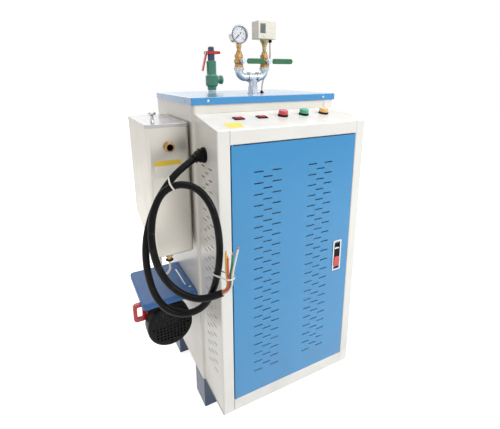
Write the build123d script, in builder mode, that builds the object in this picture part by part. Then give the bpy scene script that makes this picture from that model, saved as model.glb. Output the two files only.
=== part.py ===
"""Electric steam boiler: closed housing on four legs, control cabinet with a slotted door, feed water tank,
feed pump, safety valve, and a pressure gauge and pressure controller on a two-armed steam manifold.
X runs right along the front, Y runs back, Z runs up from the floor. Sizes are in millimetres."""
import os
from math import atan2, cos, degrees, pi, radians, sin, tan

from build123d import *

os.makedirs("parts", exist_ok=True)

# Sheet metal
sheet = 2.0
bend_radius = 12.0
small_bend = 8.0
seam = 2.5
fit_gap = 0.3

# Control cabinet in front of the housing
cabinet_width = 500.0
cabinet_depth = 160.0
cabinet_height = 895.0
panel_rise = 27.0
stile_left = 37.0
stile_right = 34.5
rail_top = 40.0
rail_bottom = 43.0
frame_return = 18.0

# Housing with the pressure vessel, on four legs
body_side_reach = 6.5
body_depth = 390.0
body_height = 966.5
corner_return = 40.0
lid_rim = 21.0
lid_overhang = 2.5
lid_clearance = 0.5
lid_corner = 3.0
leg_height = 120.0
leg_size = 92.0
leg_inset = 2.0

# Door and its lock
door_flange = 14.0
pivot_radius = 2.5
pivot_length = 6.0
pivot_edge = 4.5
slot_length = 30.0
slot_height = 3.6
slot_pitch = 29.5
slot_row_pitch = 32.65
slot_rows = 21
slot_first_drop = 120.0
door_slot_left = 111.0
door_slot_right = 129.5
side_slot_front = 53.0
side_slot_length = 25.0
side_slot_pitch = 27.0
side_slot_drop = 111.0
lock_width = 34.0
lock_height = 108.0
lock_rim = 3.0
lock_proud = 2.5
lock_depth = 12.0
lock_from_edge = 46.0
lock_middle = 451.0
lock_lever_below = 18.0
lock_button_above = 10.0
lock_button_height = 34.0
lock_button_proud = 5.0

# Switches and lamps on the sloping panel
switch_width = 31.0
switch_length = 25.0
switch_corner = 2.0
bezel_height = 2.5
rocker_width = 21.0
rocker_length = 17.0
rocker_tip = 3.2
rocker_tip_drop = 1.2
rocker_tilt = 8.0
rocker_clearance = 0.6
switch_places = (106.0, 181.5)
lamp_radius = 15.5
lamp_cap_radius = 14.3
lamp_cap_height = 12.0
lamp_ring_height = 6.0
lamp_stem_radius = 10.5
lamp_places = (255.0, 331.5, 409.0)
lamp_names = ("red_lamp", "green_lamp", "amber_lamp")
controls_from_back = 69.0

# Feed water tank on the left side
tank_width = 122.0
tank_depth = 267.0
tank_height = 408.0
tank_gap = 7.5
tank_setback = 18.0
tank_bottom_rise = 74.0
tank_edge_radius = 9.0
tank_lid_below_top = 70.5
tank_lid_rim = 10.0
tank_lid_overhang = 2.0
knob_radius = 12.0
knob_stem_radius = 4.5
knob_height = 30.0
knob_from_left = 33.0
knob_from_front = 62.0
inlet_radius = 16.0
inlet_bore = 9.5
inlet_thread = 13.4
inlet_hex = 5.0
inlet_spigot = 9.0
inlet_below_lid = 66.0
bracket_width = 24.0
bracket_above = 95.0
bracket_shares = (0.2, 0.8)
outlet_from_left = 48.0
outlet_from_front = 24.0
outlet_radius = 11.0
outlet_drop = 20.0
outlet_pipe = 6.6
feed_radius = 3.6
feed_dip = 54.0
feed_bend = 20.0
feed_spread = 28.0

# Feed pump under the tank, hung from its shelf
shelf_top = 340.0
shelf_width = 178.0
shelf_depth = 226.0
shelf_lip = 18.0
shelf_setback = 24.0
shelf_radius = 13.0
shelf_slot_length = 120.0
shelf_slot_width = 5.0
shelf_slot_from_wall = 24.0
motor_radius = 58.0
motor_fin = 6.0
fin_count = 28
motor_length = 118.0
motor_foot_width = 64.0
motor_foot_inset = 24.0
motor_foot_above = 41.0
motor_axis_drop = 94.0
motor_from_wall = 97.0
fan_radius = 73.0
fan_length = 46.0
fan_ahead = 8.0
fan_seat = 8.0
fan_edge_radius = 8.0
fan_hole_radius = 3.6
fan_hole_pitch = 11.0
fan_hole_margin = 17.0
pump_radius = 52.0
pump_length = 50.0
pump_edge_radius = 10.0
port_radius = 17.0
port_bore = 10.5
port_length = 16.0
loop_reach = 208.0
loop_width = 40.0
loop_height = 64.0
loop_bar = 12.0
loop_thickness = 12.0
loop_middle = 288.0
loop_behind_fan = 8.0

# Cable gland and cables
gland_radius = 22.0
gland_flange = 5.0
gland_nut = 12.0
gland_nut_radius = 20.5
gland_ball = 15.5
gland_sleeve = 13.0
gland_reach = 17.0
gland_depth = 92.0
gland_below_front_edge = 78.0
cable_radius = 9.5
wire_radius = 2.8
tie_width = 4.0
tie_thickness = 1.2
tie_clearance = 2.4
wire_bundle_radius = 11.5

# Safety valve on the lid, with heights above the lid
safety_x = 169.0
safety_back = 279.0
nipple_radius = 13.5
safety_foot = 9.0
safety_waist = 22.0
safety_hex = 16.2
safety_bonnet_z = 64.0
safety_neck_z = 112.5
safety_lever_z = 139.0
safety_top = 160.0
safety_body = 22.5
safety_bonnet = 17.5
safety_neck = 12.5
safety_cap = 11.0
safety_pin_x = 24.0
safety_pin_radius = 2.5
safety_outlet_z = 44.5
safety_outlet_radius = 16.0
safety_outlet_pipe = 12.8
safety_outlet_rim = 8.0
safety_outlet_reach = 40.0
safety_outlet_bore = 10.5
safety_outlet_depth = 24.0
lever_height = 10.0
lever_plate = 3.5
lever_side = 8.0
lever_arm_out = 16.0
lever_arm_down = 62.0
lever_arm_width = 12.0

# Steam manifold, gauge and pressure controller, with heights above the lid
manifold_back = 112.0
riser_left = 52.0
riser_right = 43.0
nipple_flange = 19.0
nipple_foot = 4.0
nipple_thread = 14.0
nipple_hex = 18.0
nipple_hex_height = 24.0
pipe_radius = 12.5
collar_radius = 16.0
collar_length = 8.0
tee_z = 54.5
tee_radius = 17.0
tee_reach = 20.0
elbow_bend = 21.0
elbow_top = 84.0
valve_height = 42.0
valve_hex = 15.5
valve_hex_height = 10.0
valve_ball = 16.0
boss_radius = 7.5
boss_reach = 30.0
stem_radius = 4.0
stem_depth = 10.0
hub_radius = 9.0
hub_nut = 5.0
hub_nut_radius = 6.3
handle_width = 11.0
handle_plate = 3.0
grip_start = 13.0
grip_end = 2.0
grip_wall = 2.5
grip_width = 17.0
lever_reach_left = 77.0
lever_reach_right = 92.0
gauge_neck = 6.5
gauge_z = 186.5
gauge_radius = 28.5
gauge_ahead = 9.0
gauge_thickness = 26.0
gauge_edge = 2.0
gauge_wall = 3.5
gauge_recess = 5.0
dial_thickness = 1.0
controller_z = 174.5
controller_width = 68.0
controller_height = 57.0
controller_thickness = 45.0
controller_ahead = 22.0
controller_shift = -2.0
controller_edge = 3.0
funnel_radius = 15.0
funnel_height = 16.0
window_width = 20.0
window_height = 30.0
window_from_left = 18.0
window_raise = 4.0
window_depth = 2.0
wire_gland_x = 22.0
wire_gland_radius = 6.0
wire_gland_length = 9.0
controller_wire_radius = 2.5
grommet_height = 8.0

# Places that follow from the sizes
lid_side = body_side_reach + lid_overhang
right_reach = cabinet_width + lid_side
back_reach = cabinet_depth + body_depth + lid_overhang
cab_left = (loop_reach - right_reach) / 2
cab_front = (lock_button_proud - back_reach) / 2
cab_right = cab_left + cabinet_width
cab_middle = cab_left + cabinet_width / 2
base = leg_height
front_edge = base + cabinet_height
body_left = cab_left - body_side_reach
body_right = cab_right + body_side_reach
body_front = cab_front + cabinet_depth
body_back = body_front + body_depth
body_top = base + body_height
lid_top = body_top + sheet
panel_angle = degrees(atan2(panel_rise, cabinet_depth))
body_middle = (body_front + body_back) / 2
pocket_width = lock_width - 2 * lock_rim
pocket_height = lock_height - 2 * lock_rim


def save(piece, name):
    """Labels a finished piece and writes it as its own file."""
    piece.label = name
    export_step(piece, f"parts/{name}.step")
    return piece


def box_between(low, high):
    """Adds a box from its lowest to its highest corner."""
    size = [b - a for a, b in zip(low, high)]
    with Locations(tuple((a + b) / 2 for a, b in zip(low, high))):
        Box(*size)


def mirrored(piece, about):
    """The same piece on the other side of a plane."""
    with BuildPart() as copy:
        add(mirror(piece, about=about, mode=Mode.PRIVATE))
    return copy.part


def angled_panel(points, radius, bottom, height):
    """A bent sheet: its outer line, seen from above, and its height. The sheet lies left of the line."""
    with BuildPart() as panel:
        with BuildSketch(Plane.XY.offset(bottom)):
            with BuildLine():
                FilletPolyline(*points, radius=radius)
                offset(amount=sheet, side=Side.LEFT)
            make_face()
        extrude(amount=height)
    return panel.part


# Housing

left_side = angled_panel(
    [(body_left, body_back), (body_left, body_front), (body_left + corner_return, body_front)],
    bend_radius, base, body_height)
save(left_side, "body_left_panel")
body_center_plane = Plane.YZ.offset(cab_middle)
save(mirrored(left_side, body_center_plane), "body_right_panel")

with BuildPart() as body_front_panel:
    box_between((body_left + bend_radius, body_front + sheet, base + sheet),
                (body_right - bend_radius, body_front + 2 * sheet, body_top))
save(body_front_panel.part, "body_front_panel")

with BuildPart() as body_back_panel:
    box_between((body_left + sheet, body_back - sheet, base + sheet), (body_right - sheet, body_back, body_top))
save(body_back_panel.part, "body_back_panel")

with BuildPart() as body_base:
    with BuildSketch(Plane.XY.offset(base)) as base_outline:
        with Locations((cab_middle, body_middle + sheet / 2)):
            Rectangle(body_right - body_left - 2 * sheet, body_depth - sheet)
        fillet(base_outline.vertices().group_by(Axis.Y)[0], bend_radius - sheet)
    extrude(amount=sheet)
save(body_base.part, "body_base")

with BuildPart() as top_lid:
    with BuildSketch(Plane.XY.offset(lid_top)) as lid_outline:
        with Locations((cab_middle, body_middle)):
            RectangleRounded(body_right - body_left + 2 * lid_overhang, body_depth + 2 * lid_overhang, lid_corner)
    extrude(amount=-lid_rim)
    with BuildSketch(Plane.XY.offset(body_top)):
        with Locations((cab_middle, body_middle)):
            RectangleRounded(body_right - body_left + 2 * lid_clearance, body_depth + 2 * lid_clearance,
                             lid_corner - lid_overhang + lid_clearance)
    extrude(amount=-lid_rim, mode=Mode.SUBTRACT)
    fillet(top_lid.faces().sort_by(Axis.Z)[-1].edges(), sheet * 0.75)
save(top_lid.part, "top_lid")

leg_pitch_x = body_right - body_left - 2 * leg_inset - leg_size
leg_pitch_y = body_depth - 2 * leg_inset - leg_size
with BuildPart() as legs:
    with BuildSketch():
        with Locations((cab_middle, body_middle)):
            with GridLocations(leg_pitch_x, leg_pitch_y, 2, 2):
                RectangleRounded(leg_size, leg_size, small_bend / 2)
    extrude(amount=leg_height)
save(legs.part, "legs")

# Control cabinet

slope = Plane(origin=(cab_middle, cab_front, front_edge), x_dir=(1, 0, 0),
              z_dir=(0, -sin(radians(panel_angle)), cos(radians(panel_angle))))
under_slope = slope.offset(-sheet)
side_panel_height = cabinet_height + panel_rise
stile_back = cab_front + frame_return


def slotted_side(outer_x):
    """Side slots of the cabinet: three columns, the middle one half a row lower."""
    with BuildPart() as cutter:
        with BuildSketch(Plane.YZ.offset(outer_x)):
            for column in range(3):
                y = cab_front + side_slot_front + column * side_slot_pitch
                middle = column == 1
                rows = slot_rows - 1 if middle else slot_rows
                drop = slot_row_pitch / 2 if middle else 0
                top = front_edge - side_slot_drop - drop
                with Locations((y, top - (rows - 1) * slot_row_pitch / 2)):
                    with GridLocations(1, slot_row_pitch, 1, rows):
                        SlotOverall(side_slot_length, slot_height)
        extrude(amount=sheet, both=True)
    return cutter.part


with BuildPart() as cabinet_left_panel:
    with BuildSketch(Plane.XY.offset(base + small_bend)):
        with BuildLine():
            FilletPolyline((cab_left, body_front), (cab_left, cab_front), (cab_left + stile_left, cab_front),
                           (cab_left + stile_left, stile_back), radius=small_bend / 2)
            offset(amount=sheet, side=Side.LEFT)
        make_face()
    extrude(amount=side_panel_height - small_bend)
    split(bisect_by=under_slope, keep=Keep.BOTTOM)
    add(slotted_side(cab_left), mode=Mode.SUBTRACT)
save(cabinet_left_panel.part, "cabinet_left_panel")

with BuildPart() as cabinet_right_panel:
    with BuildSketch(Plane.XY.offset(base + small_bend)):
        with BuildLine():
            FilletPolyline((cab_right, body_front), (cab_right, cab_front), (cab_right - stile_right, cab_front),
                           (cab_right - stile_right, stile_back), radius=small_bend / 2)
            offset(amount=sheet, side=Side.RIGHT)
        make_face()
    extrude(amount=side_panel_height - small_bend)
    split(bisect_by=under_slope, keep=Keep.BOTTOM)
    add(slotted_side(cab_right), mode=Mode.SUBTRACT)
save(cabinet_right_panel.part, "cabinet_right_panel")

opening_left = cab_left + stile_left
opening_right = cab_right - stile_right
opening_bottom = base + rail_bottom
opening_top = front_edge - rail_top
door_left = opening_left + seam
pivot_x = door_left + pivot_edge
pivot_y = cab_front + pivot_edge


def stile_notches(low, high):
    """Room at both ends of a rail for the stiles of the side panels."""
    with BuildPart() as notch:
        box_between((cab_left - sheet, cab_front - sheet, low), (opening_left, body_front + sheet, high))
        box_between((opening_right, cab_front - sheet, low), (cab_right + sheet, body_front + sheet, high))
    return notch.part


def pivot_hole(z):
    """Cuts the hole of a door pivot through the flange at a height."""
    with Locations((pivot_x, pivot_y, z)):
        Cylinder(pivot_radius + fit_gap, 4 * sheet, mode=Mode.SUBTRACT)


def cabinet_outline():
    """The cabinet's plan with rounded front corners, as a tall block."""
    with BuildPart() as block:
        with BuildSketch(Plane.XY.offset(base)) as plan:
            with Locations((cab_middle, (cab_front + body_front) / 2)):
                Rectangle(cabinet_width, cabinet_depth)
            fillet(plan.vertices().group_by(Axis.Y)[0], small_bend / 2)
        extrude(amount=side_panel_height + sheet)
    return block.part


with BuildPart() as below_slope:
    add(stile_notches(opening_top - 1, front_edge + panel_rise))
    split(bisect_by=under_slope, keep=Keep.BOTTOM)

with BuildPart() as control_panel:
    with BuildSketch(Plane.YZ.offset(cab_left)):
        with BuildLine():
            FilletPolyline((stile_back, opening_top), (cab_front, opening_top), (cab_front, front_edge),
                           (body_front, front_edge + panel_rise), radius=small_bend / 2)
            offset(amount=sheet, side=Side.RIGHT)
        make_face()
    extrude(amount=cabinet_width)
    add(cabinet_outline(), mode=Mode.INTERSECT)
    add(below_slope.part, mode=Mode.SUBTRACT)
    pivot_hole(opening_top)
save(control_panel.part, "control_panel")

with BuildPart() as cabinet_base:
    with BuildSketch(Plane.YZ.offset(cab_left)):
        with BuildLine():
            FilletPolyline((body_front, base), (cab_front, base), (cab_front, opening_bottom),
                           (stile_back, opening_bottom), radius=small_bend / 2)
            offset(amount=sheet, side=Side.RIGHT)
        make_face()
    extrude(amount=cabinet_width)
    add(cabinet_outline(), mode=Mode.INTERSECT)
    add(stile_notches(base + small_bend, opening_bottom + 1), mode=Mode.SUBTRACT)
    pivot_hole(opening_bottom)
save(cabinet_base.part, "cabinet_base")

# Door, hung on two pivots behind its left edge

door_right = opening_right - seam
door_bottom = opening_bottom + seam
door_top = opening_top - seam
door_middle = ((door_left + door_right) / 2, (door_bottom + door_top) / 2)
door_width = door_right - door_left
door_height = door_top - door_bottom
front_plane = Plane.XZ.offset(-cab_front)
lock_place = (door_right - lock_from_edge, base + lock_middle)
slot_top = front_edge - slot_first_drop


def cut_door_slots(middle_x):
    """One group of door slots: three columns, the middle one half a row lower."""
    for column in (-1, 0, 1):
        rows = slot_rows - (column == 0)
        drop = slot_row_pitch / 2 if column == 0 else 0
        with Locations((middle_x + column * slot_pitch, slot_top - drop - (rows - 1) * slot_row_pitch / 2)):
            with GridLocations(1, slot_row_pitch, 1, rows):
                SlotOverall(slot_length, slot_height, mode=Mode.SUBTRACT)


with BuildPart() as door:
    with BuildSketch(front_plane):
        with Locations(door_middle):
            Rectangle(door_width, door_height)
        cut_door_slots(door_left + door_slot_left)
        cut_door_slots(door_right - door_slot_right)
        with Locations(lock_place):
            Rectangle(pocket_width + 2 * fit_gap, pocket_height + 2 * fit_gap, mode=Mode.SUBTRACT)
    extrude(amount=-sheet)
    with BuildSketch(front_plane):
        with Locations(door_middle):
            Rectangle(door_width, door_height)
            Rectangle(door_width - 2 * sheet, door_height - 2 * sheet, mode=Mode.SUBTRACT)
    extrude(amount=-door_flange)
    with Locations((pivot_x, pivot_y, door_top + pivot_length / 2),
                   (pivot_x, pivot_y, door_bottom - pivot_length / 2)):
        Cylinder(pivot_radius, pivot_length)
save(door.part, "door")

with BuildPart() as lock_frame:
    with BuildSketch(front_plane):
        with Locations(lock_place):
            RectangleRounded(lock_width, lock_height, lock_rim)
    extrude(amount=lock_proud)
    with BuildSketch(front_plane):
        with Locations(lock_place):
            Rectangle(pocket_width, pocket_height)
    extrude(amount=-lock_depth)
    with BuildSketch(front_plane.offset(lock_proud)):
        with Locations(lock_place):
            Rectangle(pocket_width - 2 * sheet, pocket_height - 2 * sheet)
    extrude(amount=sheet - lock_depth - lock_proud, mode=Mode.SUBTRACT)
save(lock_frame.part, "lock_frame")

insert_width = pocket_width - 2 * sheet - 2 * fit_gap
pocket_bottom = lock_place[1] - pocket_height / 2 + sheet
pocket_top = lock_place[1] + pocket_height / 2 - sheet
button_top = pocket_bottom + lock_button_above + lock_button_height
pocket_floor = lock_depth - sheet

with BuildPart() as lock_button:
    with BuildSketch(front_plane.offset(-pocket_floor)):
        with Locations((lock_place[0], button_top - lock_button_height / 2)):
            RectangleRounded(insert_width, lock_button_height, lock_rim)
    extrude(amount=pocket_floor + lock_button_proud)
    fillet(lock_button.faces().sort_by(Axis.Y)[0].edges(), 1.5)
save(lock_button.part, "lock_button")

with BuildPart() as lock_lever:
    lever_top = pocket_top - lock_lever_below
    lever_length = lever_top - button_top - fit_gap
    with BuildSketch(front_plane.offset(-pocket_floor)):
        with Locations((lock_place[0], lever_top - lever_length / 2)):
            Rectangle(insert_width, lever_length)
    extrude(amount=pocket_floor + lock_proud / 2)
    chamfer(lock_lever.faces().sort_by(Axis.Y)[0].edges().filter_by(Axis.Z), 3)
save(lock_lever.part, "lock_lever")

# Switches and lamps

slope_length = (cabinet_depth ** 2 + panel_rise ** 2) ** 0.5
controls_y = slope_length - controls_from_back


def slope_place(from_left):
    """A place in the row of controls, on the sloping panel."""
    return (from_left - cabinet_width / 2, controls_y)


with BuildPart() as switch_bezels:
    with BuildSketch(slope):
        with Locations(*[slope_place(from_left) for from_left in switch_places]):
            RectangleRounded(switch_width, switch_length, switch_corner)
            Rectangle(rocker_width + 2 * rocker_clearance, rocker_length + 2 * rocker_clearance,
                      mode=Mode.SUBTRACT)
    extrude(amount=bezel_height)
save(switch_bezels.part, "switch_bezels")

pivot_height = rocker_tip_drop + 1.0
for number, from_left in enumerate(switch_places, 1):
    lean = radians(panel_angle - rocker_tilt)
    across = Plane(origin=slope.offset(pivot_height).from_local_coords(slope_place(from_left)),
                   x_dir=(0, cos(lean), sin(lean)), z_dir=(1, 0, 0))
    half = rocker_length / 2
    with BuildPart() as rocker:
        with BuildSketch(across.offset(-rocker_width / 2)):
            with BuildLine():
                Polyline((-half, 0), (0, fit_gap - pivot_height), (half, 0), (half, rocker_tip),
                         (0, rocker_tip / 2), (-half, rocker_tip), close=True)
            make_face()
        extrude(amount=rocker_width)
    save(rocker.part, f"switch_rocker_{number}")
    print("rocker", number, "pivot", [round(v, 2) for v in across.origin])

with BuildPart() as lamp_rings:
    with BuildSketch(slope):
        with Locations(*[slope_place(from_left) for from_left in lamp_places]):
            Circle(lamp_radius)
            Circle(lamp_stem_radius + fit_gap, mode=Mode.SUBTRACT)
    extrude(amount=lamp_ring_height)
save(lamp_rings.part, "lamp_rings")

for name, from_left in zip(lamp_names, lamp_places):
    with BuildPart() as lamp:
        with BuildSketch(slope):
            with Locations(slope_place(from_left)):
                Circle(lamp_stem_radius)
        extrude(amount=lamp_ring_height)
        with BuildSketch(slope.offset(lamp_ring_height)):
            with Locations(slope_place(from_left)):
                Circle(lamp_cap_radius)
        extrude(amount=lamp_cap_height)
        fillet(lamp.edges().filter_by(GeomType.CIRCLE).sort_by(Axis.Z)[-1], 3)
    save(lamp.part, name)

# Feed water tank

tank_right = body_left - tank_gap
tank_left = tank_right - tank_width
tank_front = body_front + tank_setback
tank_back = tank_front + tank_depth
tank_lid_top = lid_top - tank_lid_below_top
tank_top = tank_lid_top - sheet
tank_bottom = tank_top - tank_height
tank_middle = (tank_left + tank_right) / 2

with BuildPart() as tank_shell:
    with BuildSketch(Plane.YZ.offset(tank_left)):
        with BuildLine():
            Polyline((tank_front, tank_bottom), (tank_back, tank_bottom + tank_bottom_rise),
                     (tank_back, tank_top), (tank_front, tank_top), close=True)
        make_face()
    extrude(amount=tank_width)
    fillet(tank_shell.edges().filter_by(Axis.Z), tank_edge_radius)
    fillet(tank_shell.faces().sort_by(Axis.Z)[0].edges(), tank_edge_radius - 1)
    tank_block = tank_shell.part
    offset(amount=-sheet, openings=tank_shell.faces().sort_by(Axis.Z)[-1])
    with BuildSketch(Plane.XZ.offset(-tank_front)):
        with Locations((tank_middle, tank_lid_top - inlet_below_lid)):
            Circle(inlet_bore)
    extrude(amount=-2 * sheet, mode=Mode.SUBTRACT)
save(tank_shell.part, "tank_shell")

with BuildPart() as tank_lid:
    lid_middle = (tank_middle, (tank_front + tank_back) / 2)
    with BuildSketch(Plane.XY.offset(tank_lid_top)):
        with Locations(lid_middle):
            RectangleRounded(tank_width + 2 * tank_lid_overhang, tank_depth + 2 * tank_lid_overhang,
                             tank_edge_radius + tank_lid_overhang)
    extrude(amount=-tank_lid_rim)
    fillet(tank_lid.faces().sort_by(Axis.Z)[-1].edges(), 1)
    with BuildSketch(Plane.XY.offset(tank_top)):
        with Locations(lid_middle):
            RectangleRounded(tank_width + 2 * lid_clearance, tank_depth + 2 * lid_clearance,
                             tank_edge_radius + lid_clearance)
    extrude(amount=-tank_lid_rim, mode=Mode.SUBTRACT)
save(tank_lid.part, "tank_lid")

with BuildPart() as tank_knob:
    with BuildSketch(Plane.XZ):
        with BuildLine():
            Polyline((0, 0), (knob_radius * 0.6, 0), (knob_stem_radius, knob_height * 0.2),
                     (knob_stem_radius, knob_height * 0.6), (knob_radius, knob_height * 0.75),
                     (knob_radius, knob_height * 0.9), (knob_radius * 0.7, knob_height), (0, knob_height), close=True)
        make_face()
    revolve(axis=Axis.Z)
knob_place = (tank_left + knob_from_left, tank_front + knob_from_front, tank_lid_top)
save(tank_knob.part.moved(Location(knob_place)), "tank_knob")

inlet_z = tank_lid_top - inlet_below_lid
with BuildPart() as water_inlet:
    with BuildSketch(Plane.XZ.offset(-tank_front)):
        with Locations((tank_middle, inlet_z)):
            RegularPolygon(inlet_radius, 6)
            Circle(inlet_bore, mode=Mode.SUBTRACT)
    extrude(amount=inlet_hex)
    with BuildSketch(Plane.XZ.offset(inlet_hex - tank_front)):
        with Locations((tank_middle, inlet_z)):
            Circle(inlet_thread)
            Circle(inlet_bore, mode=Mode.SUBTRACT)
    extrude(amount=inlet_spigot)
save(water_inlet.part, "water_inlet")

with BuildPart() as tank_brackets:
    for share in bracket_shares:
        y = tank_front + share * tank_depth
        box_between((tank_right, y - bracket_width / 2, tank_bottom + bracket_above),
                    (body_left, y + bracket_width / 2, tank_top - bracket_above))
save(tank_brackets.part, "tank_brackets")

outlet = (tank_left + outlet_from_left, tank_front + outlet_from_front)
with BuildPart() as tank_outlet:
    with BuildSketch(Plane.XY.offset(tank_bottom - outlet_drop)):
        with Locations(outlet):
            Circle(outlet_pipe)
    extrude(amount=outlet_drop)
    with BuildSketch(Plane.XY.offset(tank_bottom - outlet_drop / 2)):
        with Locations(outlet):
            RegularPolygon(outlet_radius, 6)
    extrude(amount=outlet_drop * 1.2)
    add(tank_block, mode=Mode.SUBTRACT)
save(tank_outlet.part, "tank_outlet")

with BuildPart() as feed_pipe:
    pipe_top = tank_bottom - outlet_drop
    low = pipe_top - feed_dip
    with BuildLine() as feed_path:
        FilletPolyline((*outlet, pipe_top), (*outlet, low + feed_bend), (outlet[0] - feed_spread / 2, outlet[1], low),
                       (outlet[0] - feed_spread, outlet[1], low + feed_bend),
                       (outlet[0] - feed_spread, outlet[1], tank_bottom + tank_bottom_rise / 2), radius=feed_bend / 2)
    with BuildSketch(Plane(origin=feed_path.line @ 0, z_dir=feed_path.line % 0)):
        Circle(feed_radius)
    sweep()
    add(tank_block, mode=Mode.SUBTRACT)
save(feed_pipe.part, "feed_pipe")

# Feed pump on its shelf

shelf_z = base + shelf_top
shelf_left = body_left - shelf_width
shelf_front = body_front + shelf_setback
shelf_center = (body_left - shelf_width / 2, shelf_front + shelf_depth / 2)
motor_x = body_left - motor_from_wall
motor_z = shelf_z - motor_axis_drop
fan_front = shelf_front - fan_ahead
motor_front = fan_front + fan_length
motor_back = motor_front + motor_length
loop_front = motor_front + loop_behind_fan
handle_reach = motor_radius - motor_fin

with BuildPart() as pump_shelf:
    with BuildSketch(Plane.XY.offset(shelf_z)):
        with Locations(shelf_center):
            Rectangle(shelf_width, shelf_depth)
    extrude(amount=-shelf_lip)
    fillet(pump_shelf.edges().filter_by(Axis.Z).sort_by(Axis.X)[:2], shelf_radius)
    fillet(pump_shelf.faces().sort_by(Axis.Z)[-1].edges(), shelf_radius * 0.6)
    offset(amount=-sheet, openings=pump_shelf.faces().sort_by(Axis.Z)[0])
    with BuildSketch(Plane.XY.offset(shelf_z)):
        with Locations((body_left - shelf_slot_from_wall, shelf_center[1])):
            with Locations(Location((0, 0), 90)):
                SlotOverall(shelf_slot_length, shelf_slot_width)
    extrude(amount=-2 * sheet, mode=Mode.SUBTRACT)
save(pump_shelf.part, "pump_shelf")

with BuildPart() as pump_motor:
    with BuildSketch(Plane.XZ.offset(-motor_front)):
        with Locations((motor_x, motor_z)):
            Circle(motor_radius - motor_fin)
            with PolarLocations(motor_radius - motor_fin, fin_count):
                Rectangle(2 * motor_fin, sheet)
    extrude(amount=-motor_length)
    with BuildSketch(Plane.XZ.offset(-motor_front)):
        with Locations((motor_x, motor_z)):
            Circle(fan_radius - sheet - fit_gap)
    extrude(amount=fan_seat)
    box_between((motor_x - motor_foot_width / 2, motor_front + motor_foot_inset, motor_z + motor_foot_above),
                (motor_x + motor_foot_width / 2, motor_back - motor_foot_inset, shelf_z - sheet))
save(pump_motor.part, "pump_motor")

fan_places = []
reach = int(fan_radius // fan_hole_pitch)
for column in range(-reach, reach + 1):
    for row in range(-reach, reach + 1):
        x, z = column * fan_hole_pitch, row * fan_hole_pitch
        if (x * x + z * z) ** 0.5 < fan_radius - fan_hole_margin:
            fan_places.append((motor_x + x, motor_z + z))

with BuildPart() as fan_cover:
    with BuildSketch(Plane.XZ.offset(-fan_front)):
        with Locations((motor_x, motor_z)):
            Circle(fan_radius)
    extrude(amount=-fan_length)
    fillet(fan_cover.faces().sort_by(Axis.Y)[0].edges(), fan_edge_radius)
    offset(amount=-sheet, openings=fan_cover.faces().sort_by(Axis.Y)[-1])
    with BuildSketch(Plane.XZ.offset(-fan_front)):
        with Locations(*fan_places):
            Circle(fan_hole_radius)
    extrude(amount=-2 * sheet, mode=Mode.SUBTRACT)
save(fan_cover.part, "fan_cover")

with BuildPart() as pump_head:
    with BuildSketch(Plane.XZ.offset(-motor_back)):
        with Locations((motor_x, motor_z)):
            Circle(pump_radius)
    extrude(amount=-pump_length)
    fillet(pump_head.faces().sort_by(Axis.Y)[-1].edges(), pump_edge_radius)
    with BuildSketch(Plane.XZ.offset(-motor_back - pump_length)):
        with Locations((motor_x, motor_z)):
            Circle(port_radius)
            Circle(port_bore, mode=Mode.SUBTRACT)
    extrude(amount=-port_length)
save(pump_head.part, "pump_head")

loop_left = cab_left - loop_reach
loop_center = (loop_left + loop_width / 2, base + loop_middle)
with BuildPart() as motor_clearance:
    with BuildSketch(Plane.XZ.offset(-motor_front)):
        with Locations((motor_x, motor_z)):
            Circle(motor_radius + fit_gap)
    extrude(amount=-motor_length)

with BuildPart() as pump_handle:
    with BuildSketch(Plane.XZ.offset(-loop_front)):
        with Locations(loop_center):
            RectangleRounded(loop_width, loop_height, loop_bar)
            RectangleRounded(loop_width - 2 * loop_bar, loop_height - 2 * loop_bar, loop_bar / 3, mode=Mode.SUBTRACT)
    extrude(amount=-loop_thickness)
    box_between((loop_left + loop_width - loop_bar / 2, loop_front, loop_center[1] - loop_height / 2),
                (motor_x - handle_reach, loop_front + loop_thickness, loop_center[1] - loop_height / 2 + loop_bar))
    add(motor_clearance.part, mode=Mode.SUBTRACT)
save(pump_handle.part, "pump_handle")

# Cable gland and power cable

# Route of the cable from the gland's mouth: two loose turns that hang from the tie near the gland
cable_route = [
    (0, 0, 0), (-41, -9, -20), (-81, -19, -53), (-113, -26, -94), (-137, -33, -141), (-152, -39, -191),
    (-157, -44, -243), (-154, -50, -295), (-143, -58, -346), (-117, -69, -390), (-73, -85, -409),
    (-28, -102, -392), (-4, -115, -347), (7, -124, -297), (12, -133, -245), (18, -123, -200),
    (11, -126, -143), (1, -113, -93), (-21, -80, -56), (-63, -54, -45), (-105, -42, -67),
    (-131, -51, -112), (-142, -60, -164), (-143, -75, -211), (-131, -75, -265), (-107, -87, -311),
    (-70, -105, -343), (-28, -129, -350), (11, -150, -329)]
# Routes of the wires at the cable's end: back, up, and out along the cable
wire_routes = {
    "red": [(-3, 3, 0), (-3, 3, 12), (-3, 13, 25), (-3, 34, 34), (-3, 61, 46), (-5, 86, 58)],
    "yellow": [(3, 3, 0), (3, 3, 11), (3, 12, 21), (3, 34, 29), (5, 64, 41), (2, 98, 58)],
    "green": [(3, -3, 0), (3, -3, 14), (4, 10, 28), (4, 34, 38), (10, 58, 56), (13, 81, 68)],
    "white": [(-3, -3, 0), (-3, -3, 16), (-3, 10, 33), (-2, 34, 45), (6, 60, 64), (18, 86, 86)]}
# Where the ties hold two strands, and a strand and the wires
upper_tie = ((-71.1, -16.5, -46.6), (-77.2, -50, -52.7))
lower_tie = ((8.3, -126.6, -283), (27.4, -158.3, -283))

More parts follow.
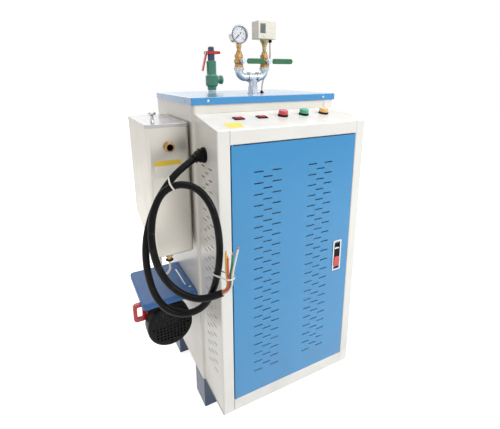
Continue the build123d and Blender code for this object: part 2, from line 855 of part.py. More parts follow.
gland_plane = Plane(origin=(cab_left, cab_front + gland_depth, front_edge - gland_below_front_edge),
                    x_dir=(0, 1, 0), z_dir=(-1, 0, 0))
gland_ball_plane = gland_plane.offset(gland_flange + gland_nut)
cable_out = (Vector(*cable_route[1]) - Vector(*cable_route[0])).normalized()
gland_mouth = tuple(gland_ball_plane.origin + cable_out * gland_reach)
with BuildPart() as cable_gland:
    with BuildSketch(gland_plane):
        Circle(gland_radius)
    extrude(amount=gland_flange)
    with BuildSketch(gland_plane.offset(gland_flange)):
        RegularPolygon(gland_nut_radius, 6)
    extrude(amount=gland_nut)
    with Locations(gland_ball_plane.origin):
        Sphere(gland_ball)
    with BuildSketch(Plane(origin=gland_ball_plane.origin, z_dir=cable_out)):
        Circle(gland_sleeve)
    extrude(amount=gland_reach)
save(cable_gland.part, "cable_gland")


def arc_radii(points):
    """For each corner of a route, the largest arc that its two runs allow."""
    corners = [Vector(*p) for p in points]
    radii = []
    for before, here, after in zip(corners, corners[1:], corners[2:]):
        turn = (here - before).get_angle(after - here)
        shorter = min((here - before).length, (after - here).length)
        radii.append(0.45 * shorter / tan(radians(turn / 2)))
    return radii


def tube(points, radius, name):
    """A tube along a route of runs and tangent arcs."""
    radii = arc_radii(points)
    with BuildPart() as piece:
        with BuildLine() as path:
            FilletPolyline(*points, radius=radii)
        route = path.wire()
        with BuildSketch(Plane(origin=route @ 0, z_dir=route % 0)):
            Circle(radius)
        sweep(path=route)
    length = route.length
    print(name, "length", round(length), "smallest radius", round(min(radii)),
          "volume share", round(piece.part.volume / (pi * radius ** 2 * length), 4))
    return piece.part


def tie_band(first, second, along, second_radius):
    """A flat band around two strands, given a point on each and the way they run."""
    centre = (Vector(*first) + Vector(*second)) * 0.5
    across = Vector(*second) - Vector(*first)
    level = Plane(origin=centre, x_dir=across, z_dir=across.cross(Vector(*along)).cross(across))
    with BuildPart() as band:
        for grown, mode in ((tie_clearance + tie_thickness, Mode.ADD), (tie_clearance, Mode.SUBTRACT)):
            with BuildSketch(level):
                with Locations((-across.length / 2, 0)):
                    Circle(cable_radius + grown)
                with Locations((across.length / 2, 0)):
                    Circle(second_radius + grown)
                make_hull()
            extrude(amount=tie_width / 2, both=True, mode=mode)
    return band.part


def moved_route(points, start):
    """A route's points from the place where it starts."""
    return [tuple(a + b for a, b in zip(start, point)) for point in points]


cable_points = moved_route(cable_route, gland_mouth)
save(tube(cable_points, cable_radius, "power_cable"), "power_cable")
upper_band = tie_band(*moved_route(upper_tie, gland_mouth), (-0.83, 0.03, -0.55), cable_radius)
lower_band = tie_band(*moved_route(lower_tie, gland_mouth), (0, 0, 1), wire_bundle_radius)
with BuildPart() as cable_ties:
    add(upper_band)
    add(lower_band)
save(cable_ties.part, "cable_ties")
last_run = Vector(*cable_points[-1]) - Vector(*cable_points[-2])
cable_end = Plane(origin=cable_points[-1], x_dir=last_run.cross(Vector(0, 0, -1)), z_dir=last_run)
for colour, route in wire_routes.items():
    wire_points = [tuple(cable_end.from_local_coords(point)) for point in route]
    save(tube(wire_points, wire_radius, colour), f"wire_{colour}")


def turned(outline, plane):
    """A turned piece about a plane's normal, from its radius at each height."""
    with BuildPart() as piece:
        with BuildSketch(Plane.XZ):
            with BuildLine():
                Polyline((0, outline[0][1]), *outline, (0, outline[-1][1]), close=True)
            make_face()
        revolve(axis=Axis.Z)
    return piece.part.moved(plane.location)


# Safety valve on the lid

safety_plane = Plane(origin=(cab_left + safety_x, body_front + safety_back, lid_top))
safety_right = Plane(origin=safety_plane.origin + Vector(0, 0, safety_outlet_z), x_dir=(0, 0, 1), z_dir=(1, 0, 0))
safety_core = turned(
    [(safety_hex, safety_foot), (safety_hex, safety_waist - 3), (safety_body, safety_waist + 4),
     (safety_body, safety_bonnet_z - 5), (safety_bonnet, safety_bonnet_z), (safety_bonnet, safety_neck_z - 3),
     (safety_neck, safety_neck_z)], safety_plane)
with BuildPart() as safety_valve:
    add(safety_core)
    with BuildSketch(safety_right):
        Circle(safety_outlet_pipe)
    extrude(amount=safety_outlet_reach)
    with BuildSketch(safety_right.offset(safety_outlet_reach - safety_outlet_rim)):
        Circle(safety_outlet_radius)
    extrude(amount=safety_outlet_rim)
    with BuildSketch(safety_right.offset(safety_outlet_reach)):
        Circle(safety_outlet_bore)
    extrude(amount=-safety_outlet_depth, mode=Mode.SUBTRACT)
save(safety_valve.part, "safety_valve")

safety_stem = turned([(safety_neck, safety_neck_z), (safety_neck, safety_lever_z + lever_height / 2 + 2),
                      (safety_cap, safety_lever_z + lever_height / 2 + 2), (safety_cap, safety_top - 3),
                      (safety_cap - 3, safety_top)], safety_plane)
safety_pin = safety_plane.origin + Vector(safety_pin_x, 0, safety_lever_z)
pin_plane = Plane(origin=safety_pin, x_dir=(1, 0, 0), z_dir=(0, -1, 0))
with BuildPart() as safety_cap_piece:
    add(safety_stem)
    with BuildSketch(pin_plane):
        with Locations((-safety_pin_x / 2, 0)):
            Rectangle(safety_pin_x, lever_height)
        Circle(lever_height / 2)
    extrude(amount=safety_neck, both=True)
    with BuildSketch(pin_plane):
        Circle(safety_pin_radius + fit_gap)
    extrude(amount=safety_neck, both=True, mode=Mode.SUBTRACT)
save(safety_cap_piece.part, "safety_cap")

cheek_gap = 2.0
cheek_inner = safety_neck + cheek_gap
cheek_reach = safety_pin_x + safety_neck + lever_side
with BuildPart() as safety_lever:
    with BuildSketch(pin_plane):
        Circle(lever_height / 2)
        with Locations((-cheek_reach / 2, 0)):
            Rectangle(cheek_reach, lever_height)
    extrude(amount=cheek_inner + lever_plate, both=True)
    with BuildSketch(pin_plane):
        Circle(lever_height)
        with Locations((lever_plate - cheek_reach / 2, 0)):
            Rectangle(cheek_reach, 2 * lever_height)
    extrude(amount=cheek_inner, both=True, mode=Mode.SUBTRACT)
    with BuildSketch(pin_plane):
        with BuildLine():
            Polyline((-cheek_reach, lever_height / 2), (-cheek_reach - lever_arm_out, -lever_arm_down),
                     (lever_plate - cheek_reach - lever_arm_out, -lever_arm_down - 2),
                     (lever_plate - cheek_reach, -lever_height / 2), close=True)
        make_face()
    extrude(amount=lever_arm_width / 2, both=True)
    with BuildSketch(pin_plane):
        Circle(safety_pin_radius)
    extrude(amount=cheek_inner + lever_plate, both=True)
save(safety_lever.part, "safety_lever")

# Steam manifold with two ball valves

manifold_y = body_front + manifold_back
riser_x = {"gauge": cab_middle - riser_left, "controller": cab_middle + riser_right}
nipple_plane = Plane(origin=(cab_middle, manifold_y, lid_top))
with BuildPart() as lid_nipples:
    add(turned([(nipple_radius, 0), (nipple_radius, safety_foot)], safety_plane))
    add(turned([(nipple_flange, 0), (nipple_flange, nipple_foot), (nipple_thread, nipple_foot),
                (nipple_thread, tee_z - tee_radius)], nipple_plane))
    with BuildSketch(nipple_plane):
        RegularPolygon(nipple_hex, 6)
    extrude(amount=nipple_hex_height)
save(lid_nipples.part, "lid_nipples")

tee_axis = Plane(origin=(cab_middle, manifold_y, lid_top + tee_z), x_dir=(0, 1, 0), z_dir=(1, 0, 0))
with BuildPart() as steam_tee:
    with BuildSketch(tee_axis):
        Circle(pipe_radius)
    extrude(amount=tee_reach, both=True)
    for side in (-1, 1):
        with BuildSketch(tee_axis.offset(side * tee_reach)):
            Circle(collar_radius)
        extrude(amount=-side * collar_length)
    with BuildSketch(nipple_plane.offset(tee_z - tee_radius)):
        Circle(collar_radius)
    extrude(amount=collar_length)
    with BuildSketch(nipple_plane.offset(tee_z - tee_radius)):
        Circle(pipe_radius)
    extrude(amount=tee_radius)
save(steam_tee.part, "steam_tee")

with BuildPart() as steam_elbows:
    for x, side in ((riser_x["gauge"], -1), (riser_x["controller"], 1)):
        start = (cab_middle + side * tee_reach, manifold_y, lid_top + tee_z)
        with BuildLine() as bend:
            FilletPolyline(start, (x, manifold_y, lid_top + tee_z), (x, manifold_y, lid_top + elbow_top),
                           radius=elbow_bend)
        with BuildSketch(Plane(origin=start, z_dir=(side, 0, 0))):
            Circle(pipe_radius)
        sweep(path=bend.line)
        with BuildSketch(Plane.XY.offset(lid_top + elbow_top)):
            with Locations((x, manifold_y)):
                Circle(collar_radius)
        extrude(amount=-collar_length)
save(steam_elbows.part, "steam_elbows")

valve_fronts = {name: Plane(origin=(x, manifold_y, lid_top + elbow_top + valve_height / 2),
                            x_dir=(1, 0, 0), z_dir=(0, -1, 0)) for name, x in riser_x.items()}
with BuildPart() as ball_valves:
    for name, valve_front in valve_fronts.items():
        with Locations(valve_front.origin):
            Sphere(valve_ball)
        for level in (0, valve_height - valve_hex_height):
            with BuildSketch(Plane.XY.offset(lid_top + elbow_top + level)):
                with Locations((riser_x[name], manifold_y)):
                    RegularPolygon(valve_hex, 6)
            extrude(amount=valve_hex_height)
        with BuildSketch(Plane.XY.offset(lid_top + elbow_top)):
            with Locations((riser_x[name], manifold_y)):
                Circle(pipe_radius)
        extrude(amount=valve_height)
        with BuildSketch(valve_front):
            Circle(boss_radius)
        extrude(amount=boss_reach)
        with BuildSketch(valve_front.offset(boss_reach)):
            Circle(stem_radius + fit_gap)
        extrude(amount=-stem_depth, mode=Mode.SUBTRACT)
save(ball_valves.part, "ball_valves")

for name, valve_front in valve_fronts.items():
    tip = lever_reach_left if name == "gauge" else lever_reach_right
    lever_plane = valve_front.offset(boss_reach + fit_gap)
    with BuildPart() as lever:
        with BuildSketch(lever_plane.offset(fit_gap - stem_depth)):
            Circle(stem_radius)
        extrude(amount=stem_depth - fit_gap)
        with BuildSketch(lever_plane):
            with Locations(((tip - grip_end) / 2, 0)):
                Rectangle(tip - grip_end, handle_width)
            Circle(hub_radius)
        extrude(amount=handle_plate)
        with BuildSketch(lever_plane.offset(handle_plate)):
            RegularPolygon(hub_nut_radius, 6)
        extrude(amount=hub_nut)
    save(lever.part, f"{name}_lever")

    with BuildPart() as grip:
        with BuildSketch(lever_plane.offset(-grip_wall)):
            with Locations(((grip_start + tip) / 2, 0)):
                SlotOverall(tip - grip_start, grip_width)
        extrude(amount=handle_plate + 2 * grip_wall)
        fillet(grip.faces().sort_by(Axis.Y)[0].edges(), grip_wall * 0.7)
        add(lever.part, mode=Mode.SUBTRACT)
    save(grip.part, f"{name}_grip")

# Pressure gauge

riser_top = lid_top + elbow_top + valve_height
gauge_plane = Plane(origin=(riser_x["gauge"], manifold_y, riser_top))
gauge_stem_length = lid_top + gauge_z - gauge_radius - riser_top
with BuildPart() as gauge_stem:
    add(turned([(gauge_neck * 1.5, 0), (gauge_neck * 1.5, 8), (gauge_neck, 10),
                (gauge_neck, gauge_stem_length * 0.6), (gauge_neck * 1.25, gauge_stem_length * 0.65),
                (gauge_neck * 1.25, gauge_stem_length)], gauge_plane))
    with BuildSketch(Plane.XY.offset(riser_top + gauge_stem_length)):
        with Locations((riser_x["gauge"], manifold_y)):
            Circle(gauge_neck * 0.9)
    extrude(amount=gauge_wall)
gauge_front = Plane(origin=(riser_x["gauge"], manifold_y - gauge_ahead, lid_top + gauge_z),
                    x_dir=(1, 0, 0), z_dir=(0, -1, 0))
with BuildPart() as gauge_case:
    with BuildSketch(gauge_front):
        Circle(gauge_radius)
    extrude(amount=-gauge_thickness)
    fillet(gauge_case.edges().filter_by(GeomType.CIRCLE), gauge_edge)
    with BuildSketch(gauge_front):
        Circle(gauge_radius - gauge_wall)
    extrude(amount=-gauge_recess, mode=Mode.SUBTRACT)
    add(gauge_stem.part, mode=Mode.SUBTRACT)
save(gauge_stem.part, "gauge_stem")
save(gauge_case.part, "gauge_case")
with BuildPart() as gauge_dial:
    with BuildSketch(gauge_front.offset(-gauge_recess)):
        Circle(gauge_radius - gauge_wall - fit_gap)
    extrude(amount=dial_thickness)
save(gauge_dial.part, "gauge_dial")

# Pressure controller

controller_plane = Plane(origin=(riser_x["controller"], manifold_y, riser_top))
controller_rise = lid_top + controller_z - riser_top
save(turned([(gauge_neck * 1.5, 0), (gauge_neck * 1.5, 8), (gauge_neck, 10),
             (gauge_neck, controller_rise - funnel_height - 6), (gauge_neck * 1.3, controller_rise - funnel_height - 4),
             (gauge_neck * 1.3, controller_rise - funnel_height), (funnel_radius, controller_rise - 4),
             (funnel_radius, controller_rise)], controller_plane), "controller_stem")

box_front = manifold_y - controller_ahead
box_left = riser_x["controller"] - controller_width / 2 + controller_shift
box_bottom = lid_top + controller_z
window_place = (box_left + window_from_left, box_bottom + controller_height / 2 + window_raise)
with BuildPart() as pressure_controller:
    box_between((box_left, box_front, box_bottom),
                (box_left + controller_width, box_front + controller_thickness, box_bottom + controller_height))
    fillet(pressure_controller.edges(), controller_edge)
    with BuildSketch(Plane.XZ.offset(-box_front)):
        with Locations(window_place):
            Rectangle(window_width, window_height)
    extrude(amount=-window_depth, mode=Mode.SUBTRACT)
save(pressure_controller.part, "pressure_controller")
with BuildPart() as controller_window:
    with BuildSketch(Plane.XZ.offset(window_depth / 2 - box_front - window_depth)):
        with Locations(window_place):
            Rectangle(window_width - 2 * fit_gap, window_height - 2 * fit_gap)
    extrude(amount=-window_depth / 2)
save(controller_window.part, "controller_window")

# Wire from the controller down to the lid
wire_start = (riser_x["controller"] + wire_gland_x, manifold_y, box_bottom - wire_gland_length)
controller_route = [(0, 0, 0), (0, 0, -20), (5, 6, -46), (4, 16, -76), (-3, 27, -107), (-12, 33, -136),
                    (-12, 33, grommet_height - (wire_start[2] - lid_top))]
controller_points = moved_route(controller_route, wire_start)
save(tube(controller_points, controller_wire_radius, "controller_wire"), "controller_wire")
grommet_plane = Plane(origin=(controller_points[-1][0], controller_points[-1][1], lid_top))
with BuildPart() as wire_glands:
    add(turned([(wire_gland_radius * 0.7, 0), (wire_gland_radius, wire_gland_length * 0.4),
                (wire_gland_radius, wire_gland_length)], Plane(origin=wire_start)))
    add(turned([(wire_gland_radius * 1.3, 0), (wire_gland_radius * 1.3, 2), (wire_gland_radius * 0.9, 3),
                (wire_gland_radius * 0.7, grommet_height)], grommet_plane))
save(wire_glands.part, "wire_glands")
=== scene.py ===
"""Electric steam boiler: finishes, cords, fasteners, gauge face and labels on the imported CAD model.

Lengths are in metres, X runs right along the front, Y runs back, Z runs up from the floor.
"""
import logging
from collections.abc import Iterable, Sequence
from dataclasses import dataclass
from enum import Enum
from functools import cached_property
from math import cos, radians, sin
from typing import ClassVar, Union

import bpy
from mathutils import Matrix, Vector

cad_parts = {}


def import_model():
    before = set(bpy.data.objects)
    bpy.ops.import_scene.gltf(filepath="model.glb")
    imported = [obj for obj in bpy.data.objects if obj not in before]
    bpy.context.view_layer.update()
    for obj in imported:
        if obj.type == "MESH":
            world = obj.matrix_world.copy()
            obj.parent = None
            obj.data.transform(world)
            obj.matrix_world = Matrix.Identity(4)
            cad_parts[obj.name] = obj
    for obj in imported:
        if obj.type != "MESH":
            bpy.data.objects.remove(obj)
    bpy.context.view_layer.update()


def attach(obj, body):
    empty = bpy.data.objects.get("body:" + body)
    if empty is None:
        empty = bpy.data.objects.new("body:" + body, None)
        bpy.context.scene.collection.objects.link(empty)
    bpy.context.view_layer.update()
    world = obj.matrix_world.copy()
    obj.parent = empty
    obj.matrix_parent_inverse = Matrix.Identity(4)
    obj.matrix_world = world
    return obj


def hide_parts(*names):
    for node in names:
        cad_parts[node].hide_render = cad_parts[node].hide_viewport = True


log = logging.getLogger("boiler")

Colour = tuple[float, float, float]
Point = tuple[float, float, float]
Outline = Sequence[tuple[float, float]]

MM = 0.001
WHITE = (1.0, 1.0, 1.0)
SMOOTH_BELOW = radians(32)


def written(red: int, green: int, blue: int) -> Colour:
    """Turns a screen colour into the linear one that a shader reads.

    Args:
        red: red from 0 to 255.
        green: green from 0 to 255.
        blue: blue from 0 to 255.

    Returns:
        The linear colour.
    """
    def linear(level: int) -> float:
        """One channel as linear light."""
        share = level / 255
        return share / 12.92 if share <= 0.04045 else ((share + 0.055) / 1.055) ** 2.4

    return linear(red), linear(green), linear(blue)


def shaded(colour: Colour, share: float) -> Colour:
    """A colour made darker, or lighter above 1.

    Args:
        colour: linear colour.
        share: factor for each channel.

    Returns:
        The colour times the share, at most 1.
    """
    return tuple(min(1.0, channel * share) for channel in colour)


class Value:
    """An output of a shader node that can be calculated with."""

    def __init__(self, recipe: "Recipe", socket: bpy.types.NodeSocket) -> None:
        """Keeps the socket and the recipe it belongs to."""
        self.recipe = recipe
        self.socket = socket

    def _reckon(self, operation: str, other: "Feed", swapped: bool = False) -> "Value":
        """Adds a Math node between this value and another.

        Args:
            operation: the Math node's operation.
            other: the other value.
            swapped: whether the other value comes first.

        Returns:
            The result.
        """
        pair = (other, self) if swapped else (self, other)
        return self.recipe.node("ShaderNodeMath", {"operation": operation}, dict(enumerate(pair)))

    def __add__(self, other: "Feed") -> "Value":
        """This value plus another."""
        return self._reckon("ADD", other)

    __radd__ = __add__

    def __mul__(self, other: "Feed") -> "Value":
        """This value times another."""
        return self._reckon("MULTIPLY", other)

    __rmul__ = __mul__

    def __rsub__(self, other: "Feed") -> "Value":
        """Another value minus this one."""
        return self._reckon("SUBTRACT", other, swapped=True)

    def between(self, low: float, high: float) -> "Value":
        """0 below the low mark, 1 above the high mark, a ramp between them.

        Args:
            low: value that becomes 0.
            high: value that becomes 1.

        Returns:
            The ramp.
        """
        return self.recipe.node("ShaderNodeMapRange", {"clamp": True},
                                {"Value": self, "From Min": low, "From Max": high})


Feed = Union[Value, float, int, tuple]


class Recipe:
    """The nodes of one material, or of the world, under construction."""

    def __init__(self, owner: Union[bpy.types.Material, bpy.types.World]) -> None:
        """Empties the nodes of the material or world."""
        owner.use_nodes = True
        self.owner = owner
        self.tree = owner.node_tree
        self.tree.nodes.clear()

    @cached_property
    def place(self) -> Value:
        """The place on the piece, in its own coordinates."""
        return self.node("ShaderNodeTexCoord", {}, {}, "Object")

    def node(self, kind: str, settings: dict, inputs: dict, output: Union[str, int] = 0) -> Value:
        """Adds a node, sets it up, feeds its inputs and returns one output.

        Args:
            kind: the node's type.
            settings: the node's own properties, set first.
            inputs: values or other nodes' outputs, by the input's name or number.
            output: name or number of the output that is wanted.

        Returns:
            That output.
        """
        made = self.tree.nodes.new(kind)
        for key, value in settings.items():
            setattr(made, key, value)
        for key, value in inputs.items():
            if isinstance(value, Value):
                self.tree.links.new(value.socket, made.inputs[key])
            else:
                made.inputs[key].default_value = value
        return Value(self, made.outputs[output])

    def noise(self, scale: float, detail: float = 3.0, stretch: Point = (1, 1, 1)) -> Value:
        """Noise on the piece's own coordinates.

        Args:
            scale: how fine the noise is, per metre.
            detail: number of finer layers.
            stretch: factor on each axis, small for a pattern drawn out along it.

        Returns:
            The noise, about 0.5 on average.
        """
        drawn = self.node("ShaderNodeMapping", {}, {"Vector": self.place, "Scale": stretch})
        return self.node("ShaderNodeTexNoise", {}, {"Vector": drawn, "Scale": scale, "Detail": detail})

    def cells(self, scale: float) -> Value:
        """A random level for each cell of a crystal pattern.

        Args:
            scale: how fine the cells are, per metre.

        Returns:
            The cell's level from 0 to 1.
        """
        colour = self.node("ShaderNodeTexVoronoi", {}, {"Vector": self.place, "Scale": scale}, "Color")
        return self.node("ShaderNodeSeparateColor", {}, {0: colour})

    def blend(self, share: Feed, first: Feed, second: Feed) -> Value:
        """Mixes two colours.

        Args:
            share: 0 for the first colour, 1 for the second.
            first: a linear colour.
            second: a linear colour.

        Returns:
            The mixed colour.
        """
        fed = [(*c, 1.0) if isinstance(c, tuple) else c for c in (first, second)]
        return self.node("ShaderNodeMix", {"data_type": "RGBA"}, {0: share, 6: fed[0], 7: fed[1]}, 2)

    def facing_up(self) -> Value:
        """How far the surface faces upwards, from -1 to 1."""
        normal = self.node("ShaderNodeTexCoord", {}, {}, "Normal")
        return self.node("ShaderNodeSeparateXYZ", {}, {0: normal}, "Z")

    def height(self) -> Value:
        """Height above the floor in metres."""
        return self.node("ShaderNodeSeparateXYZ", {}, {0: self.place}, "Z")

    def relief(self, height: Value, strength: float, depth: float) -> Value:
        """A bump from a height.

        Args:
            height: the height, from 0 to 1.
            strength: share of the bump that shows.
            depth: metres between 0 and 1.

        Returns:
            The bent normal.
        """
        return self.node("ShaderNodeBump", {}, {"Strength": strength, "Distance": depth, "Height": height},
                         "Normal")

    def close(self, shader: Value) -> None:
        """Links a shader to the output of the material or world."""
        in_world = isinstance(self.owner, bpy.types.World)
        end = self.tree.nodes.new("ShaderNodeOutputWorld" if in_world else "ShaderNodeOutputMaterial")
        self.tree.links.new(shader.socket, end.inputs["Surface"])


@dataclass(frozen=True)
class Finish:
    """A finish that is mixed from its main colour and its own settings."""

    colour: Colour

    def surface(self, recipe: Recipe) -> dict[str, Feed]:
        """Mixes what feeds the shader.

        Args:
            recipe: the material's nodes.

        Returns:
            The shader's inputs by name.
        """
        raise NotImplementedError

    def mix(self, name: str) -> bpy.types.Material:
        """Builds the material.

        Args:
            name: the material's name.

        Returns:
            The material.
        """
        material = bpy.data.materials.new(name)
        recipe = Recipe(material)
        recipe.close(recipe.node("ShaderNodeBsdfPrincipled", {}, self.surface(recipe)))
        return material


@dataclass(frozen=True)
class Paint(Finish):
    """Baked sheet-metal paint: orange peel, faint clouding, dust on top (on the lid also a painted sheen) and
    grime near the floor.
    """

    roughness: float = 0.34
    peel: float = 0.08
    dust: float = 0.35
    grime: float = 0.35
    coat: float = 0.25
    coat_roughness: float = 0.22
    cloud_scale: float = 5.5
    fine_scale: float = 150.0
    dust_scale: float = 17.0
    grime_scale: float = 11.0
    grime_top: float = 0.32
    mark_scale: float = 75.0
    mark_stretch: Point = (1.0, 1.0, 0.09)
    mark_share: float = 0.12
    peel_scale: float = 620.0
    peel_depth: float = 0.0004
    dust_colour: Colour = written(190, 184, 172)
    grime_colour: Colour = written(98, 84, 68)

    def surface(self, recipe: Recipe) -> dict[str, Feed]:
        """Mixes what feeds the shader.

        Args:
            recipe: the material's nodes.

        Returns:
            The shader's inputs by name.
        """
        clouds = recipe.noise(self.cloud_scale).between(0.3, 0.7)
        fine = recipe.noise(self.fine_scale)
        # Upward faces blend towards the dust colour: dust, and with the lid's high share also a painted grey
        # sheen on the lid's top.
        settled = recipe.facing_up().between(0.55, 0.95)
        dust = settled * recipe.noise(self.dust_scale).between(0.34, 0.72) * self.dust
        low = 1.0 - recipe.height().between(0.0, self.grime_top)
        grime = low * recipe.noise(self.grime_scale, 6.0).between(0.42, 0.75) * self.grime
        marks = recipe.noise(self.mark_scale, 2.0, self.mark_stretch).between(0.70, 0.76) * self.mark_share
        colour = recipe.blend(clouds * 0.5, self.colour, shaded(self.colour, 0.90))
        colour = recipe.blend(marks, colour, shaded(self.colour, 0.72))
        colour = recipe.blend(dust, colour, self.dust_colour)
        colour = recipe.blend(grime, colour, self.grime_colour)
        rough = fine * 0.10 + (self.roughness - 0.05) + dust * 0.3 + grime * 0.3
        skin = recipe.relief(recipe.noise(self.peel_scale, 2.0), self.peel, self.peel_depth)
        return {"Base Color": colour, "Roughness": rough, "Normal": skin, "Coat Weight": self.coat,
                "Coat Roughness": self.coat_roughness}


@dataclass(frozen=True)
class BrushedSteel(Finish):
    """Stainless sheet with a brushed grain and faint finger marks."""

    roughness: float = 0.27
    grain: Point = (1.0, 1.0, 0.018)
    grain_scale: float = 820.0
    grain_depth: float = 0.0001
    mark_scale: float = 13.0

    def surface(self, recipe: Recipe) -> dict[str, Feed]:
        """Mixes what feeds the shader.

        Args:
            recipe: the material's nodes.

        Returns:
            The shader's inputs by name.
        """
        streak = recipe.noise(self.grain_scale, 4.0, self.grain)
        marks = recipe.noise(self.mark_scale, 5.0).between(0.45, 0.75)
        colour = recipe.blend(streak * 0.20, self.colour, shaded(self.colour, 0.84))
        colour = recipe.blend(marks * 0.15, colour, shaded(self.colour, 0.88))
        rough = streak * 0.10 + (self.roughness - 0.05) + marks * 0.08
        return {"Base Color": colour, "Metallic": 1.0, "Roughness": rough,
                "Normal": recipe.relief(streak, 0.05, self.grain_depth)}


@dataclass(frozen=True)
class Zinc(Finish):
    """Zinc plating with a crystal spangle and dull patches."""

    roughness: float = 0.30
    crystal_scale: float = 330.0
    dull_scale: float = 48.0
    skin_scale: float = 420.0
    skin_depth: float = 0.0004

    def surface(self, recipe: Recipe) -> dict[str, Feed]:
        """Mixes what feeds the shader.

        Args:
            recipe: the material's nodes.

        Returns:
            The shader's inputs by name.
        """
        spangle = recipe.cells(self.crystal_scale)
        dull = recipe.noise(self.dull_scale, 5.0).between(0.42, 0.78)
        colour = recipe.blend(spangle * 0.5, self.colour, shaded(self.colour, 0.74))
        colour = recipe.blend(dull * 0.35, colour, shaded(self.colour, 0.62))
        rough = spangle * 0.12 + dull * 0.2 + (self.roughness - 0.06)
        return {"Base Color": colour, "Metallic": 1.0, "Roughness": rough,
                "Normal": recipe.relief(recipe.noise(self.skin_scale, 3.0), 0.14, self.skin_depth)}


@dataclass(frozen=True)
class Brass(Finish):
    """Turned or cast brass with a brown patina in patches."""

    roughness: float = 0.26
    patina: float = 0.45
    patina_scale: float = 62.0
    cast_scale: float = 300.0
    cast_depth: float = 0.0005

    def surface(self, recipe: Recipe) -> dict[str, Feed]:
        """Mixes what feeds the shader.

        Args:
            recipe: the material's nodes.

        Returns:
            The shader's inputs by name.
        """
        stain = recipe.noise(self.patina_scale, 6.0).between(0.40, 0.74) * self.patina
        cast = recipe.noise(self.cast_scale, 4.0)
        colour = recipe.blend(stain, self.colour, shaded(self.colour, 0.48))
        rough = cast * 0.12 + stain * 0.35 + (self.roughness - 0.06)
        return {"Base Color": colour, "Metallic": 1.0, "Roughness": rough,
                "Normal": recipe.relief(cast, 0.16, self.cast_depth)}


@dataclass(frozen=True)
class CastEnamel(Finish):
    """Thick enamel on a casting, with the casting's skin under it."""

    roughness: float = 0.32
    skin: float = 0.5
    skin_scale: float = 190.0
    skin_depth: float = 0.0006
    wear_scale: float = 85.0
    dust_scale: float = 30.0
    dust_colour: Colour = written(180, 175, 165)

    def surface(self, recipe: Recipe) -> dict[str, Feed]:
        """Mixes what feeds the shader.

        Args:
            recipe: the material's nodes.

        Returns:
            The shader's inputs by name.
        """
        skin = recipe.noise(self.skin_scale, 5.0)
        worn = recipe.noise(self.wear_scale, 6.0).between(0.63, 0.74)
        dust = recipe.facing_up().between(0.4, 0.9) * recipe.noise(self.dust_scale).between(0.3, 0.7) * 0.25
        colour = recipe.blend(skin * 0.4, self.colour, shaded(self.colour, 0.72))
        colour = recipe.blend(worn * 0.35, colour, shaded(self.colour, 1.8))
        colour = recipe.blend(dust, colour, self.dust_colour)
        rough = skin * 0.16 + worn * 0.15 + dust * 0.4 + (self.roughness - 0.08)
        return {"Base Color": colour, "Roughness": rough, "Coat Weight": 0.3, "Coat Roughness": 0.2,
                "Normal": recipe.relief(skin, self.skin, self.skin_depth)}


@dataclass(frozen=True)
class Plastic(Finish):
    """Moulded plastic with a fine texture and uneven gloss."""

    roughness: float = 0.36
    texture: float = 0.12
    coat: float = 0.0
    shine: float = 0.5
    patch_scale: float = 38.0
    grain_scale: float = 1400.0
    grain_depth: float = 0.0002
    dust_scale: float = 60.0
    dust_colour: Colour = written(185, 180, 170)

    def surface(self, recipe: Recipe) -> dict[str, Feed]:
        """Mixes what feeds the shader.

        Args:
            recipe: the material's nodes.

        Returns:
            The shader's inputs by name.
        """
        patches = recipe.noise(self.patch_scale, 4.0).between(0.35, 0.7)
        grain = recipe.noise(self.grain_scale, 2.0)
        dust = recipe.facing_up().between(0.5, 0.95) * recipe.noise(self.dust_scale).between(0.4, 0.75) * 0.14
        colour = recipe.blend(patches * 0.35, self.colour, shaded(self.colour, 0.82))
        colour = recipe.blend(dust, colour, self.dust_colour)
        rough = patches * 0.10 + grain * 0.08 + (self.roughness - 0.08) + dust
        return {"Base Color": colour, "Roughness": rough, "Coat Weight": self.coat, "Coat Roughness": 0.08,
                "Specular IOR Level": self.shine,
                "Normal": recipe.relief(grain, self.texture, self.grain_depth)}


@dataclass(frozen=True)
class Rubber(Finish):
    """Extruded cable jacket, slightly glossy, with pale scuffs."""

    roughness: float = 0.42
    shine: float = 0.2
    scuff_scale: float = 46.0
    scuff_colour: Colour = written(96, 94, 92)
    grain_scale: float = 700.0
    grain_depth: float = 0.0003

    def surface(self, recipe: Recipe) -> dict[str, Feed]:
        """Mixes what feeds the shader.

        Args:
            recipe: the material's nodes.

        Returns:
            The shader's inputs by name.
        """
        scuffs = recipe.noise(self.scuff_scale, 7.0).between(0.60, 0.74)
        grain = recipe.noise(self.grain_scale, 3.0)
        colour = recipe.blend(scuffs * 0.14, self.colour, self.scuff_colour)
        rough = scuffs * 0.22 + grain * 0.12 + (self.roughness - 0.06)
        return {"Base Color": colour, "Roughness": rough, "Specular IOR Level": self.shine,
                "Normal": recipe.relief(grain, 0.2, self.grain_depth)}


@dataclass(frozen=True)
class Lens(Finish):
    """Coloured lamp lens, glossy and a little deeper in colour in patches, with a faint painted glow although
    the lamp is not lit.
    """

    glow: float = 0.10
    depth_scale: float = 90.0
    smear_scale: float = 130.0
    smear_depth: float = 0.0003

    def surface(self, recipe: Recipe) -> dict[str, Feed]:
        """Mixes what feeds the shader.

        Args:
            recipe: the material's nodes.

        Returns:
            The shader's inputs by name.
        """
        depth = recipe.noise(self.depth_scale, 2.0).between(0.3, 0.7)
        colour = recipe.blend(depth * 0.5, self.colour, shaded(self.colour, 0.72))
        smears = recipe.noise(self.smear_scale, 3.0)
        return {"Base Color": colour, "Roughness": smears * 0.14 + 0.06, "Coat Weight": 0.6,
                # Painted glow: a little emission on an unlit lamp lens.
                "Emission Color": colour, "Emission Strength": self.glow,
                "Normal": recipe.relief(smears, 0.05, self.smear_depth)}


